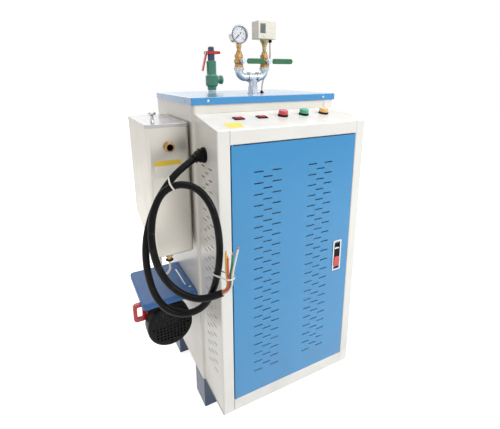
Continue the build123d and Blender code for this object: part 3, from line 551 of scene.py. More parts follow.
@dataclass(frozen=True)
class ClearPane(Finish):
    """Clear cover with faint smears."""

    cover: float = 0.03
    smear_scale: float = 110.0

    def surface(self, recipe: Recipe) -> dict[str, Feed]:
        """Mixes what feeds the shader.

        Args:
            recipe: the material's nodes.

        Returns:
            The shader's inputs by name.
        """
        smears = recipe.noise(self.smear_scale, 5.0).between(0.45, 0.8)
        colour = recipe.blend(smears * 0.3, self.colour, shaded(self.colour, 0.88))
        return {"Base Color": colour, "Roughness": smears * 0.2 + 0.04, "Alpha": smears * 0.05 + self.cover}


@dataclass(frozen=True)
class Sticker(Finish):
    """Printed film, plain, with a coloured band above a given height."""

    band_colour: Colour
    band_from: float = 9.0
    band_edge: float = 0.0004
    wear_scale: float = 95.0
    wear_colour: Colour = written(170, 165, 150)
    skin_scale: float = 500.0
    skin_depth: float = 0.0002

    def surface(self, recipe: Recipe) -> dict[str, Feed]:
        """Mixes what feeds the shader.

        Args:
            recipe: the material's nodes.

        Returns:
            The shader's inputs by name.
        """
        band = recipe.height().between(self.band_from - self.band_edge, self.band_from + self.band_edge)
        wear = recipe.noise(self.wear_scale, 6.0).between(0.55, 0.8)
        colour = recipe.blend(band, self.colour, self.band_colour)
        colour = recipe.blend(wear * 0.2, colour, self.wear_colour)
        return {"Base Color": colour, "Roughness": wear * 0.2 + 0.32,
                "Normal": recipe.relief(recipe.noise(self.skin_scale), 0.08, self.skin_depth)}


class Look(Enum):
    """The finishes of the boiler, named as the record's slots where it has one."""

    HOUSING = "housing_paint"
    FRAME = "frame_paint"
    BLUE = "blue_paint"
    LID = "lid_paint"
    LEGS = "leg_paint"
    SHELF = "shelf_paint"
    MOTOR = "motor_paint"
    PUMP = "steel"
    TANK = "tank_steel"
    ZINC = "zinc_steel"
    CHROME = "chrome"
    BRASS = "brass"
    BRONZE = "bronze"
    # Darker copy of the tank's steel for the tank's lid: painted shade on its top.
    TANK_LID = "tank_lid_steel_painted_shade"
    BEZEL = "bezel_steel"
    VALVE = "valve_green"
    CAP = "blue_enamel"
    RED_ENAMEL = "red_enamel"
    RED = "red_plastic"
    GREEN = "green_plastic"
    AMBER = "amber_plastic"
    BLACK = "black_plastic"
    WHITE = "white_plastic"
    CREAM = "cream_plastic"
    GREY = "grey_plastic"
    GRIP = "grip_green"
    CABLE = "cable_rubber"
    DIAL = "dial_white"
    WINDOW = "window_glass"
    RED_LENS = "red_lens"
    GREEN_LENS = "green_lens"
    AMBER_LENS = "amber_lens"
    TANK_LABEL = "tank_label"
    SLOPE_LABEL = "slope_label"
    TAPE = "tape_white"
    CLEAR = "clear_pane"
    COPPER = "copper"


FINISHES: dict[Look, Finish] = {
    Look.HOUSING: Paint(written(234, 232, 226)),
    Look.FRAME: Paint(written(236, 236, 233), roughness=0.30),
    Look.BLUE: Paint(written(44, 142, 202), roughness=0.30, peel=0.05, dust=0.45, coat=0.30),
    # dust=0.8 greys the lid's top faces: partly dust, partly a painted sheen standing in for the glancing
    # reflection on the top.
    Look.LID: Paint(written(40, 142, 208), roughness=0.20, peel=0.06, dust=0.8, coat=1.0),
    Look.LEGS: Paint(written(32, 66, 104), roughness=0.4, dust=0.5, grime=0.4),
    Look.SHELF: Paint(written(34, 100, 168), roughness=0.42, dust=0.08, coat=0.0),
    Look.MOTOR: CastEnamel(written(58, 62, 68), 0.42, 0.4),
    Look.PUMP: CastEnamel(written(120, 122, 122), 0.45, 0.6),
    Look.TANK: BrushedSteel(written(200, 197, 189), 0.36),
    # The tank lid's steel is darker than the shell's: painted shade standing in for a darker reflection on the
    # top.
    Look.TANK_LID: BrushedSteel(written(178, 176, 178), 0.22),
    Look.BEZEL: BrushedSteel(written(122, 126, 132), 0.24, (1.0, 1.0, 1.0)),
    Look.ZINC: Zinc(written(184, 194, 204)),
    Look.CHROME: BrushedSteel(written(188, 190, 194), 0.18, (1.0, 0.4, 1.0)),
    Look.BRASS: Brass(written(178, 142, 96), 0.30, 0.6),
    Look.BRONZE: Brass(written(172, 156, 112), 0.32, 0.6),
    Look.VALVE: CastEnamel(written(66, 140, 114), 0.34, 0.4),
    Look.CAP: CastEnamel(written(34, 72, 108), 0.3, 0.3),
    Look.RED_ENAMEL: CastEnamel(written(206, 22, 36), 0.3, 0.15),
    Look.RED: Plastic(written(200, 32, 38), 0.22, 0.05, 0.5),
    Look.GREEN: Plastic(written(36, 140, 88), 0.34),
    Look.AMBER: Plastic(written(228, 196, 48), 0.34),
    Look.BLACK: Plastic(written(8, 9, 10), 0.40, 0.18, 0.0, 0.12),
    Look.WHITE: Plastic(written(232, 230, 224), 0.34),
    Look.CREAM: Plastic(written(224, 221, 211), 0.40, 0.2),
    Look.GREY: Plastic(written(214, 196, 194), 0.42),
    Look.GRIP: Plastic(written(12, 104, 58), 0.30, 0.08, 0.1),
    Look.CABLE: Rubber(written(7, 7, 8), 0.36, 0.12),
    Look.DIAL: Plastic(written(222, 229, 236), 0.30, 0.03),
    Look.WINDOW: Plastic(written(92, 98, 100), 0.10, 0.02, 0.8),
    Look.RED_LENS: Lens(written(205, 48, 58)),
    Look.GREEN_LENS: Lens(written(36, 168, 116)),
    Look.AMBER_LENS: Lens(written(238, 186, 108)),
    Look.TANK_LABEL: Sticker(written(236, 236, 230), written(238, 205, 60), 0.898),
    Look.SLOPE_LABEL: Sticker(written(240, 222, 84), written(240, 222, 84)),
    Look.TAPE: Plastic(written(238, 238, 236), 0.6, 0.3),
    Look.CLEAR: ClearPane(WHITE),
    Look.COPPER: Brass(written(206, 128, 84), 0.3, 0.25),
}

NODES: dict[Look, tuple[str, ...]] = {
    Look.HOUSING: ("body_left_panel", "body_right_panel", "body_front_panel", "body_back_panel", "body_base"),
    Look.FRAME: ("cabinet_left_panel", "cabinet_right_panel", "control_panel", "cabinet_base"),
    Look.BLUE: ("door",),
    Look.LID: ("top_lid",),
    Look.LEGS: ("legs",),
    Look.SHELF: ("pump_shelf",),
    Look.MOTOR: ("pump_motor",),
    Look.PUMP: ("pump_head", "tank_brackets"),
    Look.TANK: ("tank_shell",),
    Look.TANK_LID: ("tank_lid",),
    Look.ZINC: ("lid_nipples", "steam_tee", "steam_elbows", "gauge_lever", "controller_lever"),
    Look.CHROME: ("lock_frame", "tank_knob", "gauge_case"),
    Look.BRASS: ("water_inlet", "tank_outlet", "gauge_stem", "ball_valves"),
    Look.BRONZE: ("controller_stem",),
    Look.VALVE: ("safety_valve",),
    Look.CAP: ("safety_cap",),
    Look.RED_ENAMEL: ("pump_handle", "safety_lever"),
    Look.RED: ("lock_button", "switch_rocker_1", "switch_rocker_2"),
    Look.BLACK: ("lock_lever", "switch_bezels", "lamp_rings", "fan_cover", "cable_gland", "wire_glands"),
    Look.WHITE: ("feed_pipe", "cable_ties"),
    Look.CREAM: ("pressure_controller",),
    Look.GRIP: ("gauge_grip", "controller_grip"),
    Look.DIAL: ("gauge_dial",),
    Look.WINDOW: ("controller_window",),
    Look.RED_LENS: ("red_lamp",),
    Look.GREEN_LENS: ("green_lamp",),
    Look.AMBER_LENS: ("amber_lamp",),
}


class Paintshop:
    """Makes each finish once and puts it on nodes and pieces."""

    def __init__(self) -> None:
        """Starts with no material made."""
        self._made: dict[Look, bpy.types.Material] = {}

    def material(self, look: Look) -> bpy.types.Material:
        """The material of a look, made when first asked for.

        Args:
            look: the finish.

        Returns:
            The material.
        """
        if look not in self._made:
            self._made[look] = FINISHES[look].mix(look.value)
        return self._made[look]

    def coat(self, piece: bpy.types.Object, look: Look) -> bpy.types.Object:
        """Puts a finish on a whole object.

        Args:
            piece: the object.
            look: the finish.

        Returns:
            The object.
        """
        piece.data.materials.clear()
        piece.data.materials.append(self.material(look))
        return piece

    def coat_nodes(self) -> None:
        """Puts its finish on every CAD node."""
        for look, names in NODES.items():
            for name in names:
                self.coat(bpy.data.objects[name], look)
            log.info("%s on %d nodes", look.value, len(names))


class Bench:
    """The modelling steps that the sub-assemblies share."""

    @staticmethod
    def clear() -> None:
        """Leaves edit mode and deselects everything."""
        if bpy.context.object and bpy.context.object.mode != "OBJECT":
            bpy.ops.object.mode_set(mode="OBJECT")
        bpy.ops.object.select_all(action="DESELECT")

    @staticmethod
    def take(piece: bpy.types.Object) -> bpy.types.Object:
        """Makes one object the only selected and the active one.

        Args:
            piece: the object.

        Returns:
            The object.
        """
        Bench.clear()
        piece.select_set(True)
        bpy.context.view_layer.objects.active = piece
        return piece

    @staticmethod
    def place(piece: bpy.types.Object, matrix: Matrix) -> bpy.types.Object:
        """Moves a piece to its place and keeps the place in its mesh.

        Args:
            piece: the object, at the origin.
            matrix: its place.

        Returns:
            The object, again at the origin.
        """
        Bench.take(piece)
        piece.matrix_world = matrix
        bpy.ops.object.transform_apply(location=True, rotation=True, scale=True)
        return piece

    @staticmethod
    def turned(name: str, outline: Outline, segments: int = 40, ring: bool = False) -> bpy.types.Object:
        """Turns a piece about Z by extruding and resizing a circle.

        Args:
            name: the piece's name.
            outline: radius and height of each loop, from the bottom up.
            segments: number of sides.
            ring: whether the outline closes on itself instead of ending in flat caps.

        Returns:
            The piece at the origin.
        """
        Bench.clear()
        radius, level = outline[0]
        bpy.ops.mesh.primitive_circle_add(vertices=segments, radius=radius, location=(0, 0, level),
                                          fill_type="NOTHING" if ring else "NGON")
        piece = bpy.context.object
        piece.name = name
        bpy.ops.object.mode_set(mode="EDIT")
        bpy.ops.mesh.select_all(action="SELECT")
        for next_radius, next_level in outline[1:]:
            bpy.ops.mesh.extrude_region_move(TRANSFORM_OT_translate={"value": (0, 0, next_level - level)})
            share = next_radius / radius
            bpy.ops.transform.resize(value=(share, share, 1), center_override=(0, 0, next_level))
            radius, level = next_radius, next_level
        bpy.ops.mesh.select_all(action="SELECT")
        bpy.ops.mesh.remove_doubles(threshold=0.00001)
        bpy.ops.mesh.normals_make_consistent(inside=False)
        bpy.ops.object.mode_set(mode="OBJECT")
        bpy.ops.object.transform_apply(location=True, rotation=True, scale=True)
        bpy.ops.object.shade_smooth_by_angle(angle=SMOOTH_BELOW)
        return piece

    @staticmethod
    def plate(name: str, size: Point, corner: float, edge: float) -> bpy.types.Object:
        """A plate with rounded corners and softened edges, lying on Z = 0.

        Args:
            name: the piece's name.
            size: width, depth and thickness.
            corner: corner radius in plan.
            edge: bevel of the upper edge.

        Returns:
            The piece at the origin.
        """
        Bench.clear()
        bpy.ops.mesh.primitive_plane_add(size=1)
        piece = bpy.context.object
        piece.name = name
        bpy.ops.object.mode_set(mode="EDIT")
        bpy.ops.mesh.select_all(action="SELECT")
        bpy.ops.transform.resize(value=(size[0], size[1], 1), center_override=(0, 0, 0))
        bpy.ops.mesh.bevel(offset=corner, segments=5, affect="VERTICES")
        bpy.ops.mesh.select_all(action="SELECT")
        bpy.ops.mesh.extrude_region_move(TRANSFORM_OT_translate={"value": (0, 0, size[2] - edge)})
        bpy.ops.mesh.extrude_region_move(TRANSFORM_OT_translate={"value": (0, 0, edge)})
        bpy.ops.transform.resize(value=(1 - 2 * edge / size[0], 1 - 2 * edge / size[1], 1),
                                 center_override=(0, 0, size[2]))
        bpy.ops.mesh.select_all(action="SELECT")
        bpy.ops.mesh.normals_make_consistent(inside=False)
        bpy.ops.object.mode_set(mode="OBJECT")
        bpy.ops.object.shade_smooth_by_angle(angle=SMOOTH_BELOW)
        return piece

    @staticmethod
    def copies(pattern: bpy.types.Object, name: str, places: Iterable[Matrix]) -> bpy.types.Object:
        """Copies a pattern piece to each place and joins the copies.

        Args:
            pattern: the piece at the origin, removed afterwards.
            name: the joined piece's name.
            places: a matrix for each copy.

        Returns:
            The joined piece.
        """
        made = []
        for matrix in places:
            Bench.take(pattern)
            bpy.ops.object.duplicate(linked=False)
            made.append(Bench.place(bpy.context.object, matrix))
        bpy.data.objects.remove(pattern, do_unlink=True)
        Bench.take(made[0])
        for copy in made[1:]:
            copy.select_set(True)
        if len(made) > 1:
            bpy.ops.object.join()
        made[0].name = name
        return made[0]


def facing(point: Point, outward: Point, up: Point = (0, 0, 1)) -> Matrix:
    """A place whose Z axis points outwards from a surface.

    Args:
        point: where the piece's origin goes.
        outward: direction of the piece's Z axis.
        up: direction that the piece's Y axis is nearest to.

    Returns:
        The matrix.
    """
    z = Vector(outward).normalized()
    x = Vector(up).cross(z)
    x = Vector((1, 0, 0)) if x.length < 1e-6 else x.normalized()
    turn = Matrix((x, z.cross(x), z)).transposed().to_4x4()
    return Matrix.Translation(point) @ turn


@dataclass
class Assembly:
    """A sub-assembly of dressed pieces that ride on a body of the CAD model."""

    paintshop: Paintshop
    body: ClassVar[str] = "boiler"

    def fit(self, piece: bpy.types.Object, look: Look) -> bpy.types.Object:
        """Paints a piece, puts it on its body and reports it.

        Args:
            piece: the finished piece.
            look: its finish.

        Returns:
            The piece.
        """
        self.paintshop.coat(piece, look)
        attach(piece, self.body)
        log.info("piece %s, finish %s", piece.name, look.value)
        return piece


@dataclass
class Fasteners(Assembly):
    """Screws on the lid's rim, the back panel and the pump's shelf."""

    head_radius: float = 4.2 * MM
    head_height: float = 2.0 * MM
    recess: float = 0.8 * MM
    shelf_screw: Point = (-0.1711, -0.0536, 0.460)
    rim_side_y: tuple[float, float] = (-0.0520, 0.2145)
    rim_front_x: tuple[float, float] = (-0.1087, 0.3077)
    rim_z: float = 1.0770
    lid_low: tuple[float, float] = (-0.1595, -0.11625)
    lid_high: tuple[float, float] = (0.3585, 0.27875)
    back_y: float = 0.27625
    back_x: tuple[float, ...] = (-0.145, 0.0995, 0.344)
    back_z: tuple[float, ...] = (0.150, 0.460, 0.770, 1.040)

    def screw(self) -> bpy.types.Object:
        """A domed screw head with a sunk drive.

        Returns:
            The screw head on Z = 0.
        """
        r, h = self.head_radius, self.head_height
        return Bench.turned("screw", [(r, 0), (r, h * 0.35), (r * 0.86, h * 0.75), (r * 0.55, h),
                                      (r * 0.42, h), (r * 0.34, h - self.recess)], 24)

    def build(self) -> None:
        """Builds all the screws."""
        sides = ((self.lid_low, -1), (self.lid_high, 1))
        rim = [facing((x, y, self.rim_z), (way, 0, 0)) for (x, _), way in sides for y in self.rim_side_y]
        rim += [facing((x, y, self.rim_z), (0, way, 0)) for (_, y), way in sides for x in self.rim_front_x]
        self.fit(Bench.copies(self.screw(), "rim_screws", rim), Look.ZINC)
        back = [facing((x, self.back_y, z), (0, 1, 0)) for x in self.back_x for z in self.back_z]
        self.fit(Bench.copies(self.screw(), "back_screws", back), Look.ZINC)
        shelf = Bench.copies(self.screw(), "shelf_screw", [facing(self.shelf_screw, (0, 0, 1), (0, 1, 0))])
        self.fit(shelf, Look.WHITE)


@dataclass
class LockTrim(Assembly):
    """Pale bar across the door lock's lever."""

    body: ClassVar[str] = "door_leaf"
    bar: Point = (0.019, 0.0045, 0.0012)
    corner: float = 0.0012
    edge: float = 0.0004
    middle: Point = (0.2665, -0.2750, 0.5965)

    def build(self) -> None:
        """Builds the bar."""
        bar = Bench.plate("lock_bar", self.bar, self.corner, self.edge)
        self.fit(Bench.place(bar, facing(self.middle, (0, -1, 0))), Look.CHROME)


@dataclass
class Labels(Assembly):
    """The plain label on the tank and the plain sticker on the sloping panel."""

    film: float = 0.0004
    tank_label: tuple[float, float] = (0.078, 0.049)
    tank_corner: float = 0.004
    tank_middle: Point = (-0.2305, -0.09575, 0.8885)
    slope_label: tuple[float, float] = (0.048, 0.043)
    slope_corner: float = 0.003
    slope_middle: tuple[float, float] = (-0.0845, 0.0385)
    slope_foot: tuple[float, float] = (-0.27375, 1.015)
    slope_angle: float = radians(9.578)

    def build(self) -> None:
        """Builds both films."""
        tank = Bench.plate("tank_film", (*self.tank_label, self.film), self.tank_corner, self.film / 2)
        self.fit(Bench.place(tank, facing(self.tank_middle, (0, -1, 0))), Look.TANK_LABEL)
        across, up = self.slope_middle
        foot_y, foot_z = self.slope_foot
        c, s = cos(self.slope_angle), sin(self.slope_angle)
        slope = Bench.plate("slope_film", (*self.slope_label, self.film), self.slope_corner, self.film / 2)
        place = facing((across, foot_y + up * c, foot_z + up * s), (0, -s, c), (0, c, s))
        self.fit(Bench.place(slope, place), Look.SLOPE_LABEL)


@dataclass
class GaugeFace(Assembly):
    """Bezel, scale, numbers, needle and clear cover of the pressure gauge."""

    middle: Point = (0.0475, -0.00675, 1.275)
    front_y: float = -0.01075
    outer: float = 0.0285
    inner: float = 0.0248
    bezel_lip: float = 0.0014
    bezel_depth: float = 0.0022
    cover_depth: float = 0.0008
    tick_radius: float = 0.0212
    short_tick_shift: float = 0.0008
    long_tick: Point = (0.0010, 0.0044, 0.0002)
    short_tick: Point = (0.0006, 0.0026, 0.0002)
    tick_edge: float = 0.0001
    number_radius: float = 0.0160
    number_size: float = 0.0058
    number_film: float = 0.0001
    sweep: float = 270.0
    steps: int = 20
    top_number: int = 10
    needle_angle: float = 225.0
    needle_reach: float = 0.0195
    needle_tail: float = 0.016
    needle_width: float = 0.0030
    needle_taper: float = 0.35
    needle_film: float = 0.0004
    needle_lift: float = 0.0012
    hub_outline: Outline = ((0.0026, 0), (0.0026, 0.0016), (0.0020, 0.0022), (0.0008, 0.0024))

    def dial_place(self, angle: float, radius: float, lift: float) -> Matrix:
        """A place on the dial, turned to face its middle.

        Args:
            angle: degrees from straight up, clockwise.
            radius: distance from the middle.
            lift: height above the dial.

        Returns:
            The matrix.
        """
        a = radians(angle)
        outward = (sin(a), 0, cos(a))
        point = Vector(self.middle) + Vector(outward) * radius + Vector((0, -lift, 0))
        return facing(tuple(point), (0, -1, 0), outward)

    def build(self) -> None:
        """Builds the face from the bezel inwards."""
        self.bezel()
        self.scale()
        self.numbers()
        self.needle()
        self.cover()

    def bezel(self) -> None:
        """The crimped ring round the dial."""
        lip, depth, outer, inner = self.bezel_lip, self.bezel_depth, self.outer, self.inner
        ring = Bench.turned("gauge_bezel", [
            (outer - 0.0002, -depth), (outer + 0.0005, -0.0010), (outer + 0.0003, 0.0006),
            (outer - 0.0010, lip), (inner + 0.0008, lip), (inner, 0.0006), (inner, -depth),
            (outer - 0.0002, -depth)], 64, ring=True)
        place = facing((self.middle[0], self.front_y, self.middle[2]), (0, -1, 0))
        self.fit(Bench.place(ring, place), Look.BEZEL)

    def ticks(self, name: str, size: Point, radius: float, steps: Iterable[int]) -> None:
        """One kind of mark round the dial.

        Args:
            name: the piece's name.
            size: a mark's width, length and thickness.
            radius: distance of the marks from the middle.
            steps: the steps of the scale that they stand at.
        """
        pattern = Bench.plate("mark", size, self.tick_edge, self.tick_edge)
        places = [self.dial_place(self.sweep * (step / self.steps - 0.5), radius, 0.0) for step in steps]
        self.fit(Bench.copies(pattern, name, places), Look.BLACK)

    def scale(self) -> None:
        """Long and short marks round the dial."""
        self.ticks("dial_long_marks", self.long_tick, self.tick_radius, range(0, self.steps + 1, 2))
        self.ticks("dial_short_marks", self.short_tick, self.tick_radius + self.short_tick_shift,
                   range(1, self.steps, 2))

    def numbers(self) -> None:
        """Plain numbers at every other long mark."""
        made = []
        for number in range(0, self.top_number + 1, 2):
            Bench.clear()
            bpy.ops.object.text_add()
            text = bpy.context.object
            text.data.body = str(number)
            text.data.size = self.number_size
            text.data.extrude = self.number_film
            text.data.align_x = "CENTER"
            text.data.align_y = "CENTER"
            bpy.ops.object.convert(target="MESH")
            a = radians(self.sweep * (number / self.top_number - 0.5))
            point = Vector(self.middle) + Vector((sin(a), 0, cos(a))) * self.number_radius
            point.y -= self.number_film
            made.append(Bench.place(bpy.context.object, facing(tuple(point), (0, -1, 0))))
        Bench.take(made[0])
        for text in made[1:]:
            text.select_set(True)
        bpy.ops.object.join()
        made[0].name = "dial_numbers"
        self.fit(made[0], Look.BLACK)

    def needle(self) -> None:
        """A tapered needle with its hub."""
        Bench.clear()
        bpy.ops.mesh.primitive_plane_add(size=1)
        needle = bpy.context.object
        needle.name = "dial_needle"
        bpy.ops.object.mode_set(mode="EDIT")
        bpy.ops.mesh.select_all(action="SELECT")
        bpy.ops.transform.resize(value=(self.needle_width, self.needle_tail, 1), center_override=(0, 0, 0))
        bpy.ops.object.mode_set(mode="OBJECT")
        mesh = needle.data
        for edge in mesh.edges:
            edge.select = all(mesh.vertices[v].co.y > 0 for v in edge.vertices)
        for vertex in mesh.vertices:
            vertex.select = vertex.co.y > 0
        for face in mesh.polygons:
            face.select = False
        bpy.ops.object.mode_set(mode="EDIT")
        reach = self.needle_reach - self.needle_tail / 2
        bpy.ops.mesh.extrude_region_move(TRANSFORM_OT_translate={"value": (0, reach, 0)})
        bpy.ops.transform.resize(value=(self.needle_taper, 1, 1), center_override=(0, self.needle_reach, 0))
        bpy.ops.mesh.select_all(action="SELECT")
        bpy.ops.mesh.extrude_region_move(TRANSFORM_OT_translate={"value": (0, 0, self.needle_film)})
        bpy.ops.mesh.select_all(action="SELECT")
        bpy.ops.mesh.normals_make_consistent(inside=False)
        bpy.ops.object.mode_set(mode="OBJECT")
        place = self.dial_place(self.needle_angle, 0.0, self.needle_lift)
        self.fit(Bench.place(needle, place), Look.BLACK)
        hub = Bench.turned("dial_hub", self.hub_outline, 24)
        self.fit(Bench.place(hub, self.dial_place(0.0, 0.0, 0.0)), Look.CHROME)

    def cover(self) -> None:
        """The clear disc in front of the dial."""
        pane = Bench.turned("gauge_cover", [(self.inner, 0), (self.inner, 0.0005), (self.inner * 0.6, 0.0008),
                                            (self.inner * 0.2, 0.0009)], 48)
        place = facing((self.middle[0], self.front_y + self.cover_depth, self.middle[2]), (0, -1, 0))
        self.fit(Bench.place(pane, place), Look.CLEAR)


@dataclass
class PipeTrim(Assembly):
    """Thread tape, seals and thread turns on the pipework, and the controller's cover screw."""

    risers: tuple[float, float] = (0.0475, 0.1425)
    manifold_y: float = -0.00175
    tape_z: float = 1.1712
    tape_outline: Outline = ((0.0125, 0), (0.0164, 0.0001), (0.0171, 0.0007), (0.0168, 0.0014),
                             (0.0172, 0.0022), (0.0164, 0.0030), (0.0125, 0.0031), (0.0125, 0))
    inlet: Point = (-0.2255, -0.10975, 0.952)
    turn_count: int = 4
    turn_pitch: float = 0.0016
    first_turn: float = 0.0020
    turn_outline: Outline = ((0.0130, 0), (0.0139, 0.0006), (0.0130, 0.0012), (0.0130, 0))
    seal_place: Point = (-0.2385, -0.07175, 0.5860)
    seal_outline: Outline = ((0.0068, 0), (0.0118, 0.0002), (0.0125, 0.0012), (0.0118, 0.0026),
                             (0.0068, 0.0028), (0.0068, 0))
    screw_place: Point = (0.1285, -0.02375, 1.272)
    screw_outline: Outline = ((0.0028, 0), (0.0028, 0.0006), (0.00224, 0.0012), (0.00112, 0.0012),
                              (0.00084, 0.0006))

    def build(self) -> None:
        """Builds the trim from the lid to the tank."""
        tape = Bench.turned("tape", self.tape_outline, 40, ring=True)
        places = [Matrix.Translation((x, self.manifold_y, self.tape_z)) for x in self.risers]
        self.fit(Bench.copies(tape, "thread_tape", places), Look.TAPE)
        turn = Bench.turned("turn", self.turn_outline, 40, ring=True)
        x, y, z = self.inlet
        places = [facing((x, y + self.first_turn + n * self.turn_pitch, z), (0, -1, 0))
                  for n in range(self.turn_count)]
        self.fit(Bench.copies(turn, "inlet_thread_turns", places), Look.BRASS)
        seal = Bench.turned("outlet_seal", self.seal_outline, 36, ring=True)
        self.fit(Bench.place(seal, Matrix.Translation(self.seal_place)), Look.BLACK)
        screw = Bench.turned("controller_screw", self.screw_outline, 20)
        self.fit(Bench.place(screw, facing(self.screw_place, (0, -1, 0))), Look.CHROME)


@dataclass(frozen=True)
class Wire:
    """One wire of the power cable."""

    name: str
    look: Look
    length: float
    route: tuple[Point, ...]


@dataclass
class CordSet(Assembly):
    """The power cable with its four wires, and the pressure controller's wire."""

    cable_radius: float = 9.5 * MM
    cable_length: float = 1.429
    wire_radius: float = 2.8 * MM
    lead_radius: float = 2.5 * MM
    lead_length: float = 0.164
    tip_radius: float = 1.7 * MM
    tip_length: float = 7.0 * MM
    tip_root: float = -1.0 * MM
    cable: tuple[Point, ...] = (
        (-0.1825, -0.185, 0.9297), (-0.2235, -0.194, 0.9097), (-0.2635, -0.204, 0.8767),
        (-0.2955, -0.211, 0.8357), (-0.3195, -0.218, 0.7887), (-0.3345, -0.224, 0.7387),
        (-0.3395, -0.229, 0.6867), (-0.3365, -0.235, 0.6347), (-0.3255, -0.243, 0.5837),
        (-0.2995, -0.254, 0.5397), (-0.2555, -0.27, 0.5207), (-0.2105, -0.287, 0.5377),
        (-0.1865, -0.3, 0.5827), (-0.1755, -0.309, 0.6327), (-0.1705, -0.318, 0.6847),
        (-0.1645, -0.308, 0.7297), (-0.1715, -0.311, 0.7867), (-0.1815, -0.298, 0.8367),
        (-0.2035, -0.265, 0.8737), (-0.2455, -0.239, 0.8847), (-0.2875, -0.227, 0.8627),
        (-0.3135, -0.236, 0.8177), (-0.3245, -0.245, 0.7657), (-0.3255, -0.26, 0.7187),
        (-0.3135, -0.26, 0.6647), (-0.2895, -0.272, 0.6187), (-0.2525, -0.29, 0.5867),
        (-0.2105, -0.314, 0.5797), (-0.1715, -0.335, 0.6007),
    )
    wires: tuple[Wire, ...] = (
        Wire("red", Look.RED, 0.107, (
            (-0.174, -0.3371, 0.6034), (-0.1645, -0.3422, 0.6085), (-0.1579, -0.3458, 0.6231),
            (-0.1587, -0.3453, 0.646), (-0.1593, -0.345, 0.6755), (-0.1602, -0.3468, 0.7032),
        )),
        Wire("yellow", Look.AMBER, 0.117, (
            (-0.1712, -0.3318, 0.6034), (-0.1624, -0.3365, 0.6081), (-0.1579, -0.339, 0.6205),
            (-0.1598, -0.3379, 0.6438), (-0.1606, -0.3352, 0.6761), (-0.1614, -0.3382, 0.7141),
        )),
        Wire("green", Look.GREEN, 0.114, (
            (-0.1689, -0.333, 0.598), (-0.1578, -0.339, 0.604), (-0.1511, -0.3415, 0.6217),
            (-0.1522, -0.3409, 0.6477), (-0.1441, -0.3384, 0.6771), (-0.1418, -0.3363, 0.703),
        )),
        Wire("white", Look.WHITE, 0.132, (
            (-0.1718, -0.3383, 0.598), (-0.1591, -0.3451, 0.6048), (-0.1504, -0.3498, 0.6239),
            (-0.1495, -0.3492, 0.6507), (-0.1404, -0.345, 0.6823), (-0.127, -0.3386, 0.7152),
        )),
    )
    lead: tuple[Point, ...] = (
        (0.1645, -0.0018, 1.254), (0.1645, -0.0018, 1.234), (0.1695, 0.0043, 1.208),
        (0.1685, 0.0143, 1.178), (0.1615, 0.0253, 1.147), (0.1525, 0.0312, 1.118),
        (0.1525, 0.0312, 1.0965),
    )

    def curve(self, name: str, points: Sequence[Point], radius: float, look: Look) -> bpy.types.Object:
        """A round cord along a smooth curve that its route's points steer.

        Args:
            name: the piece's name.
            points: the route's points.
            radius: the cord's radius.
            look: its finish.

        Returns:
            The curve object.
        """
        data = bpy.data.curves.new(name, "CURVE")
        data.dimensions = "3D"
        data.bevel_depth = radius
        data.bevel_resolution = 5
        data.resolution_u = 10
        data.use_fill_caps = True
        spline = data.splines.new("NURBS")
        spline.points.add(len(points) - 1)
        for control, point in zip(spline.points, points):
            control.co = (*point, 1.0)
        spline.order_u = 3
        spline.use_endpoint_u = True
        spline.use_smooth = True
        cord = bpy.data.objects.new(name, data)
        bpy.context.scene.collection.objects.link(cord)
        return self.fit(cord, look)

    def tip(self, name: str, points: Sequence[Point]) -> bpy.types.Object:
        """The bare copper strands at a wire's end.

        Args:
            name: the piece's name.
            points: the wire's route.

        Returns:
            The tip.
        """
        r, h = self.tip_radius, self.tip_length
        piece = Bench.turned(name, [(r, self.tip_root), (r, h * 0.5), (r * 1.12, h * 0.75), (r * 0.8, h),
                                    (r * 0.5, h + r / 3)], 18)
        way = Vector(points[-1]) - Vector(points[-2])
        return self.fit(Bench.place(piece, facing(points[-1], tuple(way))), Look.COPPER)

    def build(self) -> None:
        """Builds each cord and hides the CAD node that it replaces."""
        cable = self.curve("supply_cable", self.cable, self.cable_radius, Look.CABLE)
        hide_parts("power_cable")
        for wire in self.wires:
            core = self.curve(f"core_{wire.name}", wire.route, self.wire_radius, wire.look)
            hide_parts(f"wire_{wire.name}")
            tip = self.tip(f"core_{wire.name}_tip", wire.route)
        lead = self.curve("controller_lead", self.lead, self.lead_radius, Look.GREY)
        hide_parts("controller_wire")


@dataclass(frozen=True)
class Lamp:
    """A soft square lamp."""

    name: str
    place: Point
    size: float
    power: float
    colour: Colour = WHITE

    def hang(self, aim: Point) -> None:
        """Hangs the lamp and points it.

        Args:
            aim: the point that it faces.
        """
        light = bpy.data.lights.new(self.name, "AREA")
        light.color = self.colour
        light.size = self.size
        light.energy = self.power
        lamp = bpy.data.objects.new(self.name, light)
        lamp.location = self.place
        lamp.rotation_euler = (Vector(self.place) - Vector(aim)).to_track_quat("Z", "Y").to_euler()
        bpy.context.scene.collection.objects.link(lamp)


